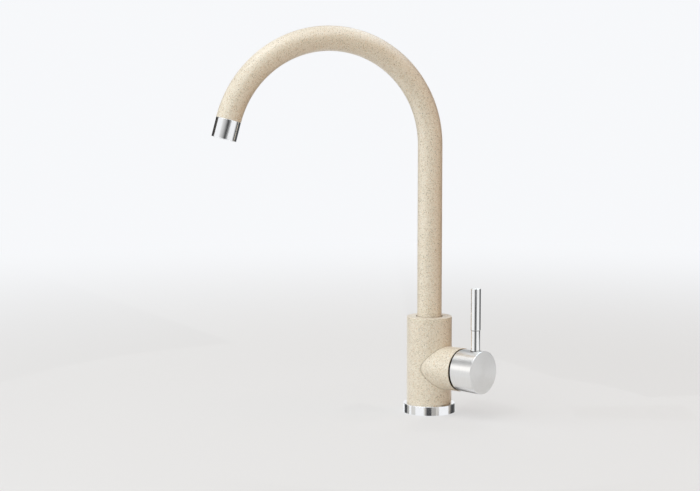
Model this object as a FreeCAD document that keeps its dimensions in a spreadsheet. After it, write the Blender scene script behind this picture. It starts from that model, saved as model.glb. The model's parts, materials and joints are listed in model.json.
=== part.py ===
import FreeCAD, Part
import Sketcher
import os
from math import cos, pi, radians, sin

# Kitchen mixer tap, in millimetres and degrees.
# Origin: centre of the base on the deck plane. +Z up, +X towards the side lever, -Y towards the basin.

SIZES = {
    # Body and base ring
    "body_radius": 23.0,
    "body_height": 99.0,
    "body_bevel": 0.4,
    "ring_margin": 3.6,
    "ring_height": 9.5,
    "ring_bevel": 0.5,
    "foot_step": 3.0,
    "foot_clearance": 0.1,
    "seal_inset": 1.6,
    "seal_depth": 2.0,
    # Deck fixing
    "deck_gap": 20.0,
    "stud_radius": 4.0,
    "stud_offset": 12.0,
    "stud_depth": 13.0,
    "stud_tail": 12.0,
    "stud_clearance": 0.2,
    "gasket_thickness": 3.0,
    "plate_thickness": 3.0,
    "plate_radius": 25.0,
    "hose_slot_width": 30.0,
    "hose_slot_edge": 7.0,
    "stud_nut_radius": 7.5,
    "stud_nut_height": 6.5,
    # Waterways
    "inlet_setback": 8.0,
    "inlet_spread": 8.5,
    "inlet_bore_radius": 3.3,
    "hose_thread_radius": 4.5,
    "hose_thread_depth": 14.0,
    "outlet_bore_radius": 3.8,
    # Spout
    "spout_angle": 240.0,
    "tube_radius": 12.5,
    "tube_wall": 1.5,
    "arc_start": 274.0,
    "arc_radius": 107.0,
    "arc_angle": 165.0,
    "bore_gap": 1.3,
    "bore_floor": 4.25,
    "slip_ring_thickness": 1.5,
    "ferrule_length": 24.5,
    "ferrule_solid": 14.0,
    "ferrule_wall": 4.2,
    "ferrule_clearance": 0.08,
    "groove_first": 3.0,
    "groove_pitch": 4.2,
    "groove_width": 2.6,
    "oring_section": 1.1,
    "oring_clearance": 0.05,
    "lock_screw_radius": 2.0,
    "lock_screw_recess": 0.8,
    "lock_tip_radius": 0.9,
    "lock_tip_length": 2.2,
    "screw_socket_radius": 1.15,
    "screw_socket_depth": 2.0,
    "thread_clearance": 0.05,
    # Outlet
    "sleeve_length": 19.5,
    "sleeve_bevel": 0.4,
    "sleeve_lip_length": 1.5,
    "sleeve_lip": 1.1,
    "nipple_insert": 4.0,
    "nipple_length": 13.0,
    "nipple_wall": 1.5,
    "nipple_clearance": 0.12,
    "aerator_seal_thickness": 1.5,
    "aerator_seal_width": 2.6,
    "screen_thickness": 0.5,
    "jet_radius": 1.05,
    "jet_pitch": 2.6,
    # Side housing and lever cap
    "housing_drop": 51.0,
    "housing_reach": 42.0,
    "housing_bevel": 0.3,
    "mouth_lip": 0.95,
    "rim_clearance": 0.35,
    "cap_gap": 1.3,
    "cap_length": 26.4,
    "cap_rim_radius": 21.1,
    "cap_flare": 0.65,
    "cap_bevel": 0.4,
    "cap_wall": 2.5,
    "cap_face_thickness": 3.7,
    "cap_slant": 1.4,
    "pivot_depth": 6.0,
    # Handle pin
    "rod_inset": 10.0,
    "rod_radius": 4.5,
    "rod_thread_radius": 3.0,
    "rod_thread_length": 12.0,
    "rod_length": 22.3,
    "spot_face_depth": 1.2,
    "spot_face_margin": 0.8,
    "seat_ring_height": 1.4,
    "grip_radius": 5.0,
    "grip_length": 42.2,
    "grip_bevel": 0.4,
    "spigot_length": 10.0,
    # Lever fixing
    "hub_radius": 7.0,
    "hub_clearance": 5.7,
    "rib_width": 10.0,
    "stem_square": 8.0,
    "stem_clearance": 0.05,
    "stem_grip_length": 8.0,
    "stem_back": 8.3,
    "stem_neck_radius": 2.5,
    "set_screw_radius": 2.5,
    "set_screw_length": 6.0,
    # Cartridge
    "cartridge_radius": 17.5,
    "cartridge_clearance": 0.25,
    "cartridge_wall": 1.4,
    "cartridge_flange": 2.0,
    "base_thickness": 7.0,
    "port_up": 5.0,
    "port_down": 8.0,
    "port_radius": 3.0,
    "port_seal_width": 1.8,
    "port_seal_depth": 1.5,
    "fixed_disc_thickness": 4.5,
    "moving_disc_thickness": 4.3,
    "moving_disc_radius": 12.0,
    "mixing_radius": 8.0,
    "mixing_drop": 1.0,
    "mixing_depth": 2.5,
    "disc_travel": 6.28,
    "carrier_thickness": 3.0,
    "carrier_play": 0.2,
    "tower_radius": 5.0,
    "tower_clearance": 0.25,
    "tower_past_ball": 1.7,
    "ball_reach": 18.0,
    "ball_radius": 3.5,
    "ball_clearance": 0.3,
    "ball_pocket_depth": 6.0,
    "rotor_disc_thickness": 8.6,
    "rotor_neck_radius": 13.0,
    "rotor_play": 0.2,
    "running_clearance": 0.08,
    "cheek_outer": 8.0,
    "cheek_inner": 4.3,
    "cheek_radius": 4.8,
    "cheek_clearance": 0.63,
    "pin_radius": 2.0,
    "lip_thickness": 1.5,
    "nut_thickness": 4.1,
    "nut_step": 0.25,
    "nut_bore_clearance": 0.6,
    "cover_clearance": 0.7,
    "cover_wall": 0.8,
    "cover_flange_thickness": 0.6,
    "cover_flange_margin": 0.8,
    "cover_open": 4.0,
}

doc = FreeCAD.newDocument("mixer_tap")
sheet = doc.addObject("Spreadsheet::Sheet", "Sizes")
for row, (alias, value) in enumerate(SIZES.items(), start=1):
    sheet.set(f"A{row}", alias)
    sheet.set(f"B{row}", str(value))
    sheet.setAlias(f"B{row}", alias)
doc.recompute()

# Levels above the deck: the housing, and with it the cartridge and the spout joint, hangs from the body's top
HOUSING_HEIGHT = "(Sizes.body_height - Sizes.housing_drop)"
RING_RADIUS = "(Sizes.body_radius + Sizes.ring_margin)"
FOOT_RADIUS = "(Sizes.body_radius - Sizes.foot_step)"
CHAMBER_RADIUS = "(Sizes.cartridge_radius + Sizes.cartridge_clearance)"
BORE_FLOOR = f"({HOUSING_HEIGHT} + {CHAMBER_RADIUS} + Sizes.bore_floor)"
BORE_RADIUS = "(Sizes.tube_radius + Sizes.bore_gap)"
FERRULE_FOOT = f"({BORE_FLOOR} + Sizes.slip_ring_thickness)"
FERRULE_RADIUS = f"({BORE_RADIUS} - Sizes.ferrule_clearance)"
FERRULE_BORE = f"({FERRULE_RADIUS} - Sizes.ferrule_wall)"
FERRULE_TOP = f"({FERRULE_FOOT} + Sizes.ferrule_length)"
TUBE_FOOT = f"({FERRULE_FOOT} + Sizes.ferrule_solid)"
TUBE_BORE = "(Sizes.tube_radius - Sizes.tube_wall)"
ORING_CENTRE = f"({BORE_RADIUS} - Sizes.oring_clearance - Sizes.oring_section)"
GROOVE_RADIUS = f"({ORING_CENTRE} - Sizes.oring_section)"
GROOVES = [f"({FERRULE_FOOT} + Sizes.groove_first + {turn} * Sizes.groove_pitch)" for turn in range(3)]
LOCK_HEIGHT = GROOVES[2]

# Levels below the deck
GASKET_TOP = "(-Sizes.deck_gap)"
PLATE_TOP = f"({GASKET_TOP} - Sizes.gasket_thickness)"
STUD_NUT_TOP = f"({PLATE_TOP} - Sizes.plate_thickness)"
STUD_NUT_FOOT = f"({STUD_NUT_TOP} - Sizes.stud_nut_height)"
STUD_FOOT = f"({STUD_NUT_FOOT} - Sizes.stud_tail)"

# Stations along the housing axis, outwards from the body's axis
CAP_RIM = "(Sizes.housing_reach + Sizes.cap_gap)"
PIVOT = f"({CAP_RIM} + Sizes.pivot_depth)"
CAP_FACE = f"({CAP_RIM} + Sizes.cap_length)"
CAP_FLOOR = f"({CAP_FACE} - Sizes.cap_face_thickness)"
CAP_FACE_RADIUS = "(Sizes.cap_rim_radius + Sizes.cap_flare)"
CAP_BORE = "(Sizes.cap_rim_radius - Sizes.cap_wall)"
ROD_STATION = f"({CAP_FACE} - Sizes.rod_inset)"
HUB_BACK = f"({PIVOT} + Sizes.hub_clearance)"
STEM_END = f"({HUB_BACK} + Sizes.stem_grip_length)"
STEM_BACK = f"({PIVOT} - Sizes.stem_back)"
BALL_STATION = f"({PIVOT} - Sizes.ball_reach)"
# The cover is a ball about the pivot, whose hollow is wide enough at the nut's face for the rotor's cheeks
COVER_RADIUS = f"({CAP_BORE} - Sizes.cover_clearance)"
COVER_BACK_RADIUS = "(sqrt(Sizes.cheek_outer ^ 2 + Sizes.cheek_radius ^ 2) + Sizes.cheek_clearance)"
NUT_FACE = f"({PIVOT} - sqrt(({COVER_RADIUS} - Sizes.cover_wall) ^ 2 - {COVER_BACK_RADIUS} ^ 2))"
NUT_BACK = f"({NUT_FACE} - Sizes.nut_thickness)"
LIP_BACK = f"({NUT_BACK} - Sizes.lip_thickness)"
ROTOR_SHOULDER = f"({LIP_BACK} - Sizes.rotor_play)"
ROTOR_BACK = f"({ROTOR_SHOULDER} - Sizes.rotor_disc_thickness)"
ROTOR_TOP = f"({NUT_FACE} - Sizes.rotor_play)"
CARRIER_FRONT = f"({ROTOR_BACK} - Sizes.carrier_play)"
CARRIER_BACK = f"({CARRIER_FRONT} - Sizes.carrier_thickness)"
MOVING_BACK = f"({CARRIER_BACK} - Sizes.moving_disc_thickness)"
FIXED_BACK = f"({MOVING_BACK} - Sizes.fixed_disc_thickness)"
SEAT = f"({FIXED_BACK} - Sizes.base_thickness)"
SHELL_BACK = f"({SEAT} + Sizes.cartridge_flange)"
SHELL_BORE = "(Sizes.cartridge_radius - Sizes.cartridge_wall)"
TOWER_END = f"({BALL_STATION} + Sizes.tower_past_ball)"
INLET_STATION = f"({SEAT} - Sizes.inlet_setback)"

# The housing's mouth is a ball-shaped seat about the lever's pivot, which the cap's rim dips into
MOUTH_BALL = "(sqrt(Sizes.cap_rim_radius ^ 2 + Sizes.pivot_depth ^ 2) + Sizes.rim_clearance)"
MOUTH_RADIUS = f"sqrt({MOUTH_BALL} ^ 2 - (Sizes.cap_gap + Sizes.pivot_depth) ^ 2)"
HOUSING_RADIUS = f"({MOUTH_RADIUS} + Sizes.mouth_lip)"
NUT_RADIUS = f"({CHAMBER_RADIUS} + Sizes.nut_step)"

# Frames: in each, local Z is the axis that its pieces are turned about
# In the lever frame, local X is up and local Z points outwards along the housing
DECK_FRAME = "placement(vector(0; 0; 0); rotationz(0))"
SPOUT_FRAME = "placement(vector(0; 0; 0); rotationz(Sizes.spout_angle))"
LEVER_FRAME = f"placement(vector(0; 0; {HOUSING_HEIGHT}); rotation(vector(1; 0; 1); 180))"
ARC_ANGLE = "(Sizes.arc_angle * 1deg)"
OUTLET_FRAME = (
    f"{SPOUT_FRAME} * placement(vector(Sizes.arc_radius * (1 - cos({ARC_ANGLE})); 0; "
    f"Sizes.arc_start + Sizes.arc_radius * sin({ARC_ANGLE})); rotationy(Sizes.arc_angle))"
)

# Turns that point a primitive's own Z axis along a frame's axes
ALONG = {"X": "rotationy(90)", "-X": "rotationy(-90)", "Y": "rotationx(-90)", "Z": "rotationz(0)"}

finished = []


def keep(piece, label):
    """Names a finished piece of the tap."""
    piece.Label = label
    finished.append(piece)
    return piece


def place(piece, frame, at=("0", "0", "0"), along="Z"):
    """Places a piece in a frame, with its own Z axis along one of the frame's axes."""
    x, y, z = at
    piece.setExpression("Placement", f"{frame} * placement(vector({x}; {y}; {z}); {ALONG[along]})")
    return piece


def cylinder(name, frame, radius, length, at=("0", "0", "0"), along="Z"):
    piece = doc.addObject("Part::Cylinder", name)
    piece.setExpression("Radius", radius)
    piece.setExpression("Height", length)
    return place(piece, frame, at, along)


def ball(name, frame, radius, at):
    piece = doc.addObject("Part::Sphere", name)
    piece.setExpression("Radius", radius)
    return place(piece, frame, at)


def block(name, frame, size, at):
    """A box with its lowest corner at a point of the frame."""
    piece = doc.addObject("Part::Box", name)
    for side, length in zip(("Length", "Width", "Height"), size):
        piece.setExpression(side, length)
    return place(piece, frame, at)


def hexagon(name, frame, radius, length, at=("0", "0", "0"), along="Z"):
    piece = doc.addObject("Part::Prism", name)
    piece.Polygon = 6
    piece.setExpression("Circumradius", radius)
    piece.setExpression("Height", length)
    return place(piece, frame, at, along)


def oring(name, frame, centre_radius, section_radius, height):
    piece = doc.addObject("Part::Torus", name)
    piece.setExpression("Radius1", centre_radius)
    piece.setExpression("Radius2", section_radius)
    return place(piece, frame, ("0", "0", height))


def fuse(name, pieces):
    piece = doc.addObject("Part::MultiFuse", name)
    piece.Shapes = pieces
    return piece


def cut(name, base, tools):
    """A base with its tools taken away."""
    piece = doc.addObject("Part::Cut", name)
    piece.Base = base
    piece.Tool = tools[0] if len(tools) == 1 else fuse(f"{name}_tools", tools)
    return piece


def common(name, first, second):
    piece = doc.addObject("Part::Common", name)
    piece.Base = first
    piece.Tool = second
    return piece


def origin_plane(body, role):
    return next(feature for feature in body.Origin.OriginFeatures if feature.Role == role)


def sketch_on(body, name, role):
    sketch = body.newObject("Sketcher::SketchObject", name)
    sketch.AttachmentSupport = [(origin_plane(body, role), "")]
    sketch.MapMode = "FlatFace"
    return sketch


def bound(sketch, constraint, expression):
    """Adds a dimension to a sketch and ties it to the sheet."""
    index = sketch.addConstraint(constraint)
    sketch.setExpression(f"Constraints[{index}]", expression)


def turned(name, frame, profile):
    """A body of revolution about the frame's Z axis, from a closed outline of (radius, level) points."""
    body = doc.addObject("PartDesign::Body", name)
    sketch = sketch_on(body, f"{name}_outline", "XZ_Plane")
    count = len(profile)
    # A rough round outline to start from, which the dimensions then pull into shape
    start = [FreeCAD.Vector(50 + 20 * cos(2 * pi * i / count), 20 * sin(2 * pi * i / count), 0) for i in range(count)]
    for i in range(count):
        sketch.addGeometry(Part.LineSegment(start[i], start[(i + 1) % count]))
    for i in range(count):
        sketch.addConstraint(Sketcher.Constraint("Coincident", i, 2, (i + 1) % count, 1))
    for i, (radius, level) in enumerate(profile):
        for kind, expression, axis, value in (
            ("DistanceX", radius, -2, start[i].x),
            ("DistanceY", level, -1, start[i].y),
        ):
            if expression == "0":
                sketch.addConstraint(Sketcher.Constraint("PointOnObject", i, 1, axis))
            else:
                bound(sketch, Sketcher.Constraint(kind, -1, 1, i, 1, value), expression)
    turn = body.newObject("PartDesign::Revolution", f"{name}_turn")
    turn.Profile = sketch
    turn.ReferenceAxis = (sketch, ["V_Axis"])
    turn.Angle = 360
    body.setExpression("Placement", frame)
    return body


def sleeve(name, frame, outer, inner, back, front):
    """A plain turned ring."""
    return turned(name, frame, [(inner, back), (outer, back), (outer, front), (inner, front)])


def make_body():
    """The cast body: upright barrel, side housing, cartridge chamber, spout bore and waterways."""
    barrel = turned(
        "barrel",
        DECK_FRAME,
        [
            ("0", "0"),
            (FOOT_RADIUS, "0"),
            (FOOT_RADIUS, "Sizes.ring_height"),
            ("Sizes.body_radius - Sizes.body_bevel", "Sizes.ring_height"),
            ("Sizes.body_radius", "Sizes.ring_height + Sizes.body_bevel"),
            ("Sizes.body_radius", "Sizes.body_height - Sizes.body_bevel"),
            ("Sizes.body_radius - Sizes.body_bevel", "Sizes.body_height"),
            ("0", "Sizes.body_height"),
        ],
    )
    housing = turned(
        "housing",
        LEVER_FRAME,
        [
            ("0", "0"),
            (HOUSING_RADIUS, "0"),
            (HOUSING_RADIUS, "Sizes.housing_reach - Sizes.housing_bevel"),
            (f"{HOUSING_RADIUS} - Sizes.housing_bevel", "Sizes.housing_reach"),
            ("0", "Sizes.housing_reach"),
        ],
    )
    hollows = [
        cylinder("chamber", LEVER_FRAME, CHAMBER_RADIUS, f"{NUT_BACK} - {SEAT}", ("0", "0", SEAT)),
        cylinder("nut_thread", LEVER_FRAME, NUT_RADIUS, f"{PIVOT} - {NUT_BACK}", ("0", "0", NUT_BACK)),
        ball("mouth_ball", LEVER_FRAME, MOUTH_BALL, ("0", "0", PIVOT)),
        cylinder(
            "spout_bore", DECK_FRAME, BORE_RADIUS, f"Sizes.body_height - {BORE_FLOOR}", ("0", "0", BORE_FLOOR)
        ),
        cylinder(
            "stud_thread", DECK_FRAME, "Sizes.stud_radius", "Sizes.stud_depth", ("Sizes.stud_offset", "0", "0")
        ),
        cylinder(
            "lock_thread",
            DECK_FRAME,
            "Sizes.lock_screw_radius + Sizes.thread_clearance",
            "Sizes.body_radius",
            ("0", "0", LOCK_HEIGHT),
            "Y",
        ),
        # The outlet port runs back from the chamber's seat and up into the spout bore
        cylinder(
            "outlet_port",
            LEVER_FRAME,
            "Sizes.outlet_bore_radius",
            "Sizes.inlet_setback",
            ("-Sizes.port_down", "0", INLET_STATION),
        ),
        cylinder(
            "outlet_riser",
            DECK_FRAME,
            "Sizes.outlet_bore_radius",
            f"{BORE_FLOOR} - {HOUSING_HEIGHT} + Sizes.port_down",
            (INLET_STATION, "0", f"{HOUSING_HEIGHT} - Sizes.port_down"),
        ),
    ]
    for side, turn in (("front", "-"), ("back", "")):
        across = f"{turn}Sizes.inlet_spread"
        hollows += [
            cylinder(
                f"{side}_thread",
                DECK_FRAME,
                "Sizes.hose_thread_radius",
                "Sizes.hose_thread_depth",
                (INLET_STATION, across, "0"),
            ),
            cylinder(
                f"{side}_riser",
                DECK_FRAME,
                "Sizes.inlet_bore_radius",
                f"{HOUSING_HEIGHT} + Sizes.port_up",
                (INLET_STATION, across, "0"),
            ),
            cylinder(
                f"{side}_port",
                LEVER_FRAME,
                "Sizes.port_radius",
                "Sizes.inlet_setback",
                ("Sizes.port_up", across, INLET_STATION),
            ),
        ]
    keep(cut("body_casting", fuse("body_blank", [barrel, housing]), hollows), "mixer_body")


def make_base():
    """The chromed base ring and the rubber seal in its underside."""
    inner = f"({FOOT_RADIUS} + Sizes.foot_clearance)"
    seal_inner = f"({inner} + Sizes.seal_inset)"
    seal_outer = f"({RING_RADIUS} - Sizes.seal_inset)"
    ring = turned(
        "ring",
        DECK_FRAME,
        [
            (inner, "0"),
            (seal_inner, "0"),
            (seal_inner, "Sizes.seal_depth"),
            (seal_outer, "Sizes.seal_depth"),
            (seal_outer, "0"),
            (RING_RADIUS, "0"),
            (RING_RADIUS, "Sizes.ring_height - Sizes.ring_bevel"),
            (f"{RING_RADIUS} - Sizes.ring_bevel", "Sizes.ring_height"),
            (inner, "Sizes.ring_height"),
        ],
    )
    keep(ring, "base_ring")
    keep(sleeve("seal", DECK_FRAME, seal_outer, seal_inner, "0", "Sizes.seal_depth"), "base_seal")


def horseshoe(name, label, top, thickness):
    """A plate that slips round the hoses from the side and hangs on the stud."""
    foot = f"{top} - {thickness}"
    slot_start = "(-2 * Sizes.plate_radius)"
    slot_end = "(Sizes.stud_offset - Sizes.hose_slot_edge)"
    disc = cylinder(f"{name}_disc", DECK_FRAME, "Sizes.plate_radius", thickness, ("0", "0", foot))
    slot = block(
        f"{name}_slot",
        DECK_FRAME,
        (f"{slot_end} - {slot_start}", "Sizes.hose_slot_width", thickness),
        (slot_start, "-Sizes.hose_slot_width / 2", foot),
    )
    hole = cylinder(
        f"{name}_hole",
        DECK_FRAME,
        "Sizes.stud_radius + Sizes.stud_clearance",
        thickness,
        ("Sizes.stud_offset", "0", foot),
    )
    keep(cut(name, disc, [slot, hole]), label)


def make_deck_fixing():
    """The stud, gasket, plate and nut that clamp the tap to a deck."""
    stud = cylinder(
        "stud",
        DECK_FRAME,
        "Sizes.stud_radius",
        f"Sizes.stud_depth - {STUD_FOOT}",
        ("Sizes.stud_offset", "0", STUD_FOOT),
    )
    keep(stud, "fixing_stud")
    horseshoe("gasket", "deck_gasket", GASKET_TOP, "Sizes.gasket_thickness")
    horseshoe("plate", "deck_plate", PLATE_TOP, "Sizes.plate_thickness")
    at = ("Sizes.stud_offset", "0", STUD_NUT_FOOT)
    blank = hexagon("stud_nut_blank", DECK_FRAME, "Sizes.stud_nut_radius", "Sizes.stud_nut_height", at)
    bore = cylinder(
        "stud_nut_bore",
        DECK_FRAME,
        "Sizes.stud_radius + Sizes.thread_clearance",
        "Sizes.stud_nut_height",
        at,
    )
    keep(cut("nut_on_stud", blank, [bore]), "stud_nut")


def make_spout():
    """The bent tube: a straight riser and one round arch, in the spout's own upright plane."""
    body = doc.addObject("PartDesign::Body", "tube")
    path = sketch_on(body, "tube_path", "XZ_Plane")
    foot, top, bend, reach = (
        SIZES["arc_start"] / 3,
        SIZES["arc_start"],
        SIZES["arc_radius"],
        SIZES["arc_radius"] * (1 - cos(radians(SIZES["arc_angle"]))),
    )
    path.addGeometry(Part.LineSegment(FreeCAD.Vector(0, foot, 0), FreeCAD.Vector(0, top, 0)))
    circle = Part.Circle(FreeCAD.Vector(bend, top, 0), FreeCAD.Vector(0, 0, 1), bend)
    path.addGeometry(Part.ArcOfCircle(circle, pi - radians(SIZES["arc_angle"]), pi))
    path.addConstraint(Sketcher.Constraint("PointOnObject", 0, 1, -2))
    path.addConstraint(Sketcher.Constraint("PointOnObject", 0, 2, -2))
    path.addConstraint(Sketcher.Constraint("Tangent", 1, 2, 0, 2))
    bound(path, Sketcher.Constraint("DistanceY", -1, 1, 0, 1, foot), TUBE_FOOT)
    bound(path, Sketcher.Constraint("DistanceY", -1, 1, 0, 2, top), "Sizes.arc_start")
    bound(path, Sketcher.Constraint("Radius", 1, bend), "Sizes.arc_radius")
    bound(path, Sketcher.Constraint("DistanceX", -1, 1, 1, 1, reach), f"Sizes.arc_radius * (1 - cos({ARC_ANGLE}))")
    section = sketch_on(body, "tube_section", "XY_Plane")
    section.setExpression("AttachmentOffset.Base.z", TUBE_FOOT)
    for radius in ("Sizes.tube_radius", TUBE_BORE):
        edge = section.addGeometry(Part.Circle(FreeCAD.Vector(), FreeCAD.Vector(0, 0, 1), 5 + 2 * section.GeometryCount))
        section.addConstraint(Sketcher.Constraint("Coincident", edge, 3, -1, 1))
        bound(section, Sketcher.Constraint("Radius", edge, 5 + 2 * edge), radius)
    pipe = body.newObject("PartDesign::AdditivePipe", "tube_pipe")
    pipe.Profile = section
    pipe.Spine = (path, ["Edge1", "Edge2"])
    body.setExpression("Placement", SPOUT_FRAME)
    keep(body, "spout_tube")


def make_spout_joint():
    """The turned ferrule brazed to the tube's foot, its seals, slip ring and lock screw."""
    half_groove = "Sizes.groove_width / 2"
    profile = [(FERRULE_BORE, FERRULE_FOOT), (FERRULE_RADIUS, FERRULE_FOOT)]
    for groove in GROOVES:
        profile += [
            (FERRULE_RADIUS, f"{groove} - {half_groove}"),
            (GROOVE_RADIUS, f"{groove} - {half_groove}"),
            (GROOVE_RADIUS, f"{groove} + {half_groove}"),
            (FERRULE_RADIUS, f"{groove} + {half_groove}"),
        ]
    profile += [
        (FERRULE_RADIUS, FERRULE_TOP),
        ("Sizes.tube_radius", FERRULE_TOP),
        ("Sizes.tube_radius", TUBE_FOOT),
        (FERRULE_BORE, TUBE_FOOT),
    ]
    keep(turned("ferrule", SPOUT_FRAME, profile), "spout_ferrule")
    for position, groove in zip(("lower", "upper"), GROOVES):
        seal = oring(f"oring_{position}", SPOUT_FRAME, ORING_CENTRE, "Sizes.oring_section", groove)
        keep(seal, f"spout_oring_{position}")
    keep(
        sleeve("slip_ring", DECK_FRAME, FERRULE_RADIUS, FERRULE_BORE, BORE_FLOOR, FERRULE_FOOT), "spout_slip_ring"
    )
    # The lock screw comes in from the back, and its tip runs in the ferrule's third groove
    tip_start = f"({GROOVE_RADIUS} + Sizes.thread_clearance)"
    shank_start = f"({tip_start} + Sizes.lock_tip_length)"
    shank_end = "(Sizes.body_radius - Sizes.lock_screw_recess)"
    shank = cylinder(
        "lock_shank",
        DECK_FRAME,
        "Sizes.lock_screw_radius",
        f"{shank_end} - {shank_start}",
        ("0", shank_start, LOCK_HEIGHT),
        "Y",
    )
    tip = cylinder(
        "lock_tip",
        DECK_FRAME,
        "Sizes.lock_tip_radius",
        "Sizes.lock_tip_length",
        ("0", tip_start, LOCK_HEIGHT),
        "Y",
    )
    socket = hexagon(
        "lock_socket",
        DECK_FRAME,
        "Sizes.screw_socket_radius",
        "Sizes.screw_socket_depth",
        ("0", f"{shank_end} - Sizes.screw_socket_depth", LOCK_HEIGHT),
        "Y",
    )
    keep(cut("lock_screw", fuse("lock_blank", [shank, tip]), [socket]), "spout_lock_screw")


def jets(name, start, length):
    """A honeycomb of round holes: three rings about a middle one."""
    rings = 3
    holes = []
    for i in range(-rings, rings + 1):
        for j in range(-rings, rings + 1):
            if abs(i + j) <= rings:
                at = (f"Sizes.jet_pitch * ({i} + {j} / 2)", f"Sizes.jet_pitch * {j} * sqrt(3) / 2", start)
                holes.append(cylinder(f"{name}_jet_{len(holes)}", OUTLET_FRAME, "Sizes.jet_radius", length, at))
    return holes


def make_outlet():
    """The chromed outlet sleeve on its nipple, with the aerator inside."""
    bore = f"({TUBE_BORE} - Sizes.nipple_clearance + Sizes.thread_clearance)"
    nipple = f"({TUBE_BORE} - Sizes.nipple_clearance)"
    nipple_end = "(Sizes.nipple_length - Sizes.nipple_insert)"
    seal_end = f"({nipple_end} + Sizes.aerator_seal_thickness)"
    screen_end = f"({seal_end} + Sizes.screen_thickness)"
    lip_start = "(Sizes.sleeve_length - Sizes.sleeve_lip_length)"
    keep(
        turned(
            "outlet_shell",
            OUTLET_FRAME,
            [
                (bore, "0"),
                ("Sizes.tube_radius", "0"),
                ("Sizes.tube_radius", "Sizes.sleeve_length - Sizes.sleeve_bevel"),
                ("Sizes.tube_radius - Sizes.sleeve_bevel", "Sizes.sleeve_length"),
                (f"{bore} - Sizes.sleeve_lip", "Sizes.sleeve_length"),
                (f"{bore} - Sizes.sleeve_lip", lip_start),
                (bore, lip_start),
            ],
        ),
        "outlet_sleeve",
    )
    keep(
        sleeve(
            "nipple", OUTLET_FRAME, nipple, f"{nipple} - Sizes.nipple_wall", "-Sizes.nipple_insert", nipple_end
        ),
        "outlet_nipple",
    )
    keep(
        sleeve("washer", OUTLET_FRAME, nipple, f"{nipple} - Sizes.aerator_seal_width", nipple_end, seal_end),
        "aerator_seal",
    )
    screen = cylinder("screen_disc", OUTLET_FRAME, nipple, "Sizes.screen_thickness", ("0", "0", seal_end))
    keep(cut("screen", screen, jets("screen", seal_end, "Sizes.screen_thickness")), "aerator_screen")
    insert_length = f"{lip_start} - {screen_end}"
    insert = cylinder("insert_disc", OUTLET_FRAME, nipple, insert_length, ("0", "0", screen_end))
    keep(cut("insert", insert, jets("insert", screen_end, insert_length)), "aerator_insert")


def ports(name, inlet_radius, outlet_radius, start, length):
    """Two inlet holes above the housing's axis and one outlet hole below it."""
    inlets = [
        cylinder(
            f"{name}_{side}", LEVER_FRAME, inlet_radius, length, ("Sizes.port_up", f"{turn}Sizes.inlet_spread", start)
        )
        for side, turn in (("front", "-"), ("back", ""))
    ]
    return inlets + [cylinder(f"{name}_out", LEVER_FRAME, outlet_radius, length, ("-Sizes.port_down", "0", start))]


def make_cartridge_shell():
    """The cartridge's still pieces: ported base, seals, shell and the ceramic disc on the base."""
    seal_inlet = "Sizes.port_radius + Sizes.port_seal_width"
    seal_outlet = "Sizes.outlet_bore_radius + Sizes.port_seal_width"
    base = turned(
        "base_blank",
        LEVER_FRAME,
        [
            ("0", SEAT),
            ("Sizes.cartridge_radius", SEAT),
            ("Sizes.cartridge_radius", SHELL_BACK),
            (SHELL_BORE, SHELL_BACK),
            (SHELL_BORE, FIXED_BACK),
            ("0", FIXED_BACK),
        ],
    )
    holes = ports("base", "Sizes.port_radius", "Sizes.outlet_bore_radius", SEAT, "Sizes.base_thickness")
    recesses = ports("recess", seal_inlet, seal_outlet, SEAT, "Sizes.port_seal_depth")
    keep(cut("base_plate", base, holes + recesses), "cartridge_base")
    rings = fuse("seal_discs", ports("seal_disc", seal_inlet, seal_outlet, SEAT, "Sizes.port_seal_depth"))
    bores = ports("seal_bore", "Sizes.port_radius", "Sizes.outlet_bore_radius", SEAT, "Sizes.port_seal_depth")
    keep(cut("seals", rings, bores), "port_seals")
    lip_radius = "(Sizes.rotor_neck_radius + Sizes.running_clearance)"
    keep(
        turned(
            "shell",
            LEVER_FRAME,
            [
                (SHELL_BORE, SHELL_BACK),
                ("Sizes.cartridge_radius", SHELL_BACK),
                ("Sizes.cartridge_radius", NUT_BACK),
                (lip_radius, NUT_BACK),
                (lip_radius, LIP_BACK),
                (SHELL_BORE, LIP_BACK),
            ],
        ),
        "cartridge_shell",
    )
    disc = cylinder("fixed_blank", LEVER_FRAME, SHELL_BORE, "Sizes.fixed_disc_thickness", ("0", "0", FIXED_BACK))
    disc_ports = ports(
        "fixed", "Sizes.port_radius", "Sizes.outlet_bore_radius", FIXED_BACK, "Sizes.fixed_disc_thickness"
    )
    keep(cut("fixed_ceramic", disc, disc_ports), "fixed_disc")


def make_moving_disc():
    """The sliding ceramic disc, half its travel below the axis while shut, and the carrier that pushes it."""
    low = "(-Sizes.disc_travel / 2)"
    disc = cylinder(
        "moving_blank",
        LEVER_FRAME,
        "Sizes.moving_disc_radius",
        "Sizes.moving_disc_thickness",
        (low, "0", MOVING_BACK),
    )
    hollow = cylinder(
        "mixing_hollow",
        LEVER_FRAME,
        "Sizes.mixing_radius",
        "Sizes.mixing_depth",
        (f"{low} - Sizes.mixing_drop", "0", MOVING_BACK),
    )
    keep(cut("moving_ceramic", disc, [hollow]), "moving_disc")
    flange = cylinder(
        "carrier_flange",
        LEVER_FRAME,
        "Sizes.moving_disc_radius",
        "Sizes.carrier_thickness",
        (low, "0", CARRIER_BACK),
    )
    tower = cylinder(
        "carrier_tower", LEVER_FRAME, "Sizes.tower_radius", f"{TOWER_END} - {CARRIER_BACK}", ("0", "0", CARRIER_BACK)
    )
    pocket = cylinder(
        "ball_pocket",
        LEVER_FRAME,
        "Sizes.ball_radius + Sizes.ball_clearance",
        "Sizes.ball_pocket_depth",
        ("0", "0", f"{TOWER_END} - Sizes.ball_pocket_depth"),
    )
    keep(cut("carrier", fuse("carrier_blank", [flange, tower]), [pocket]), "disc_carrier")


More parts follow.
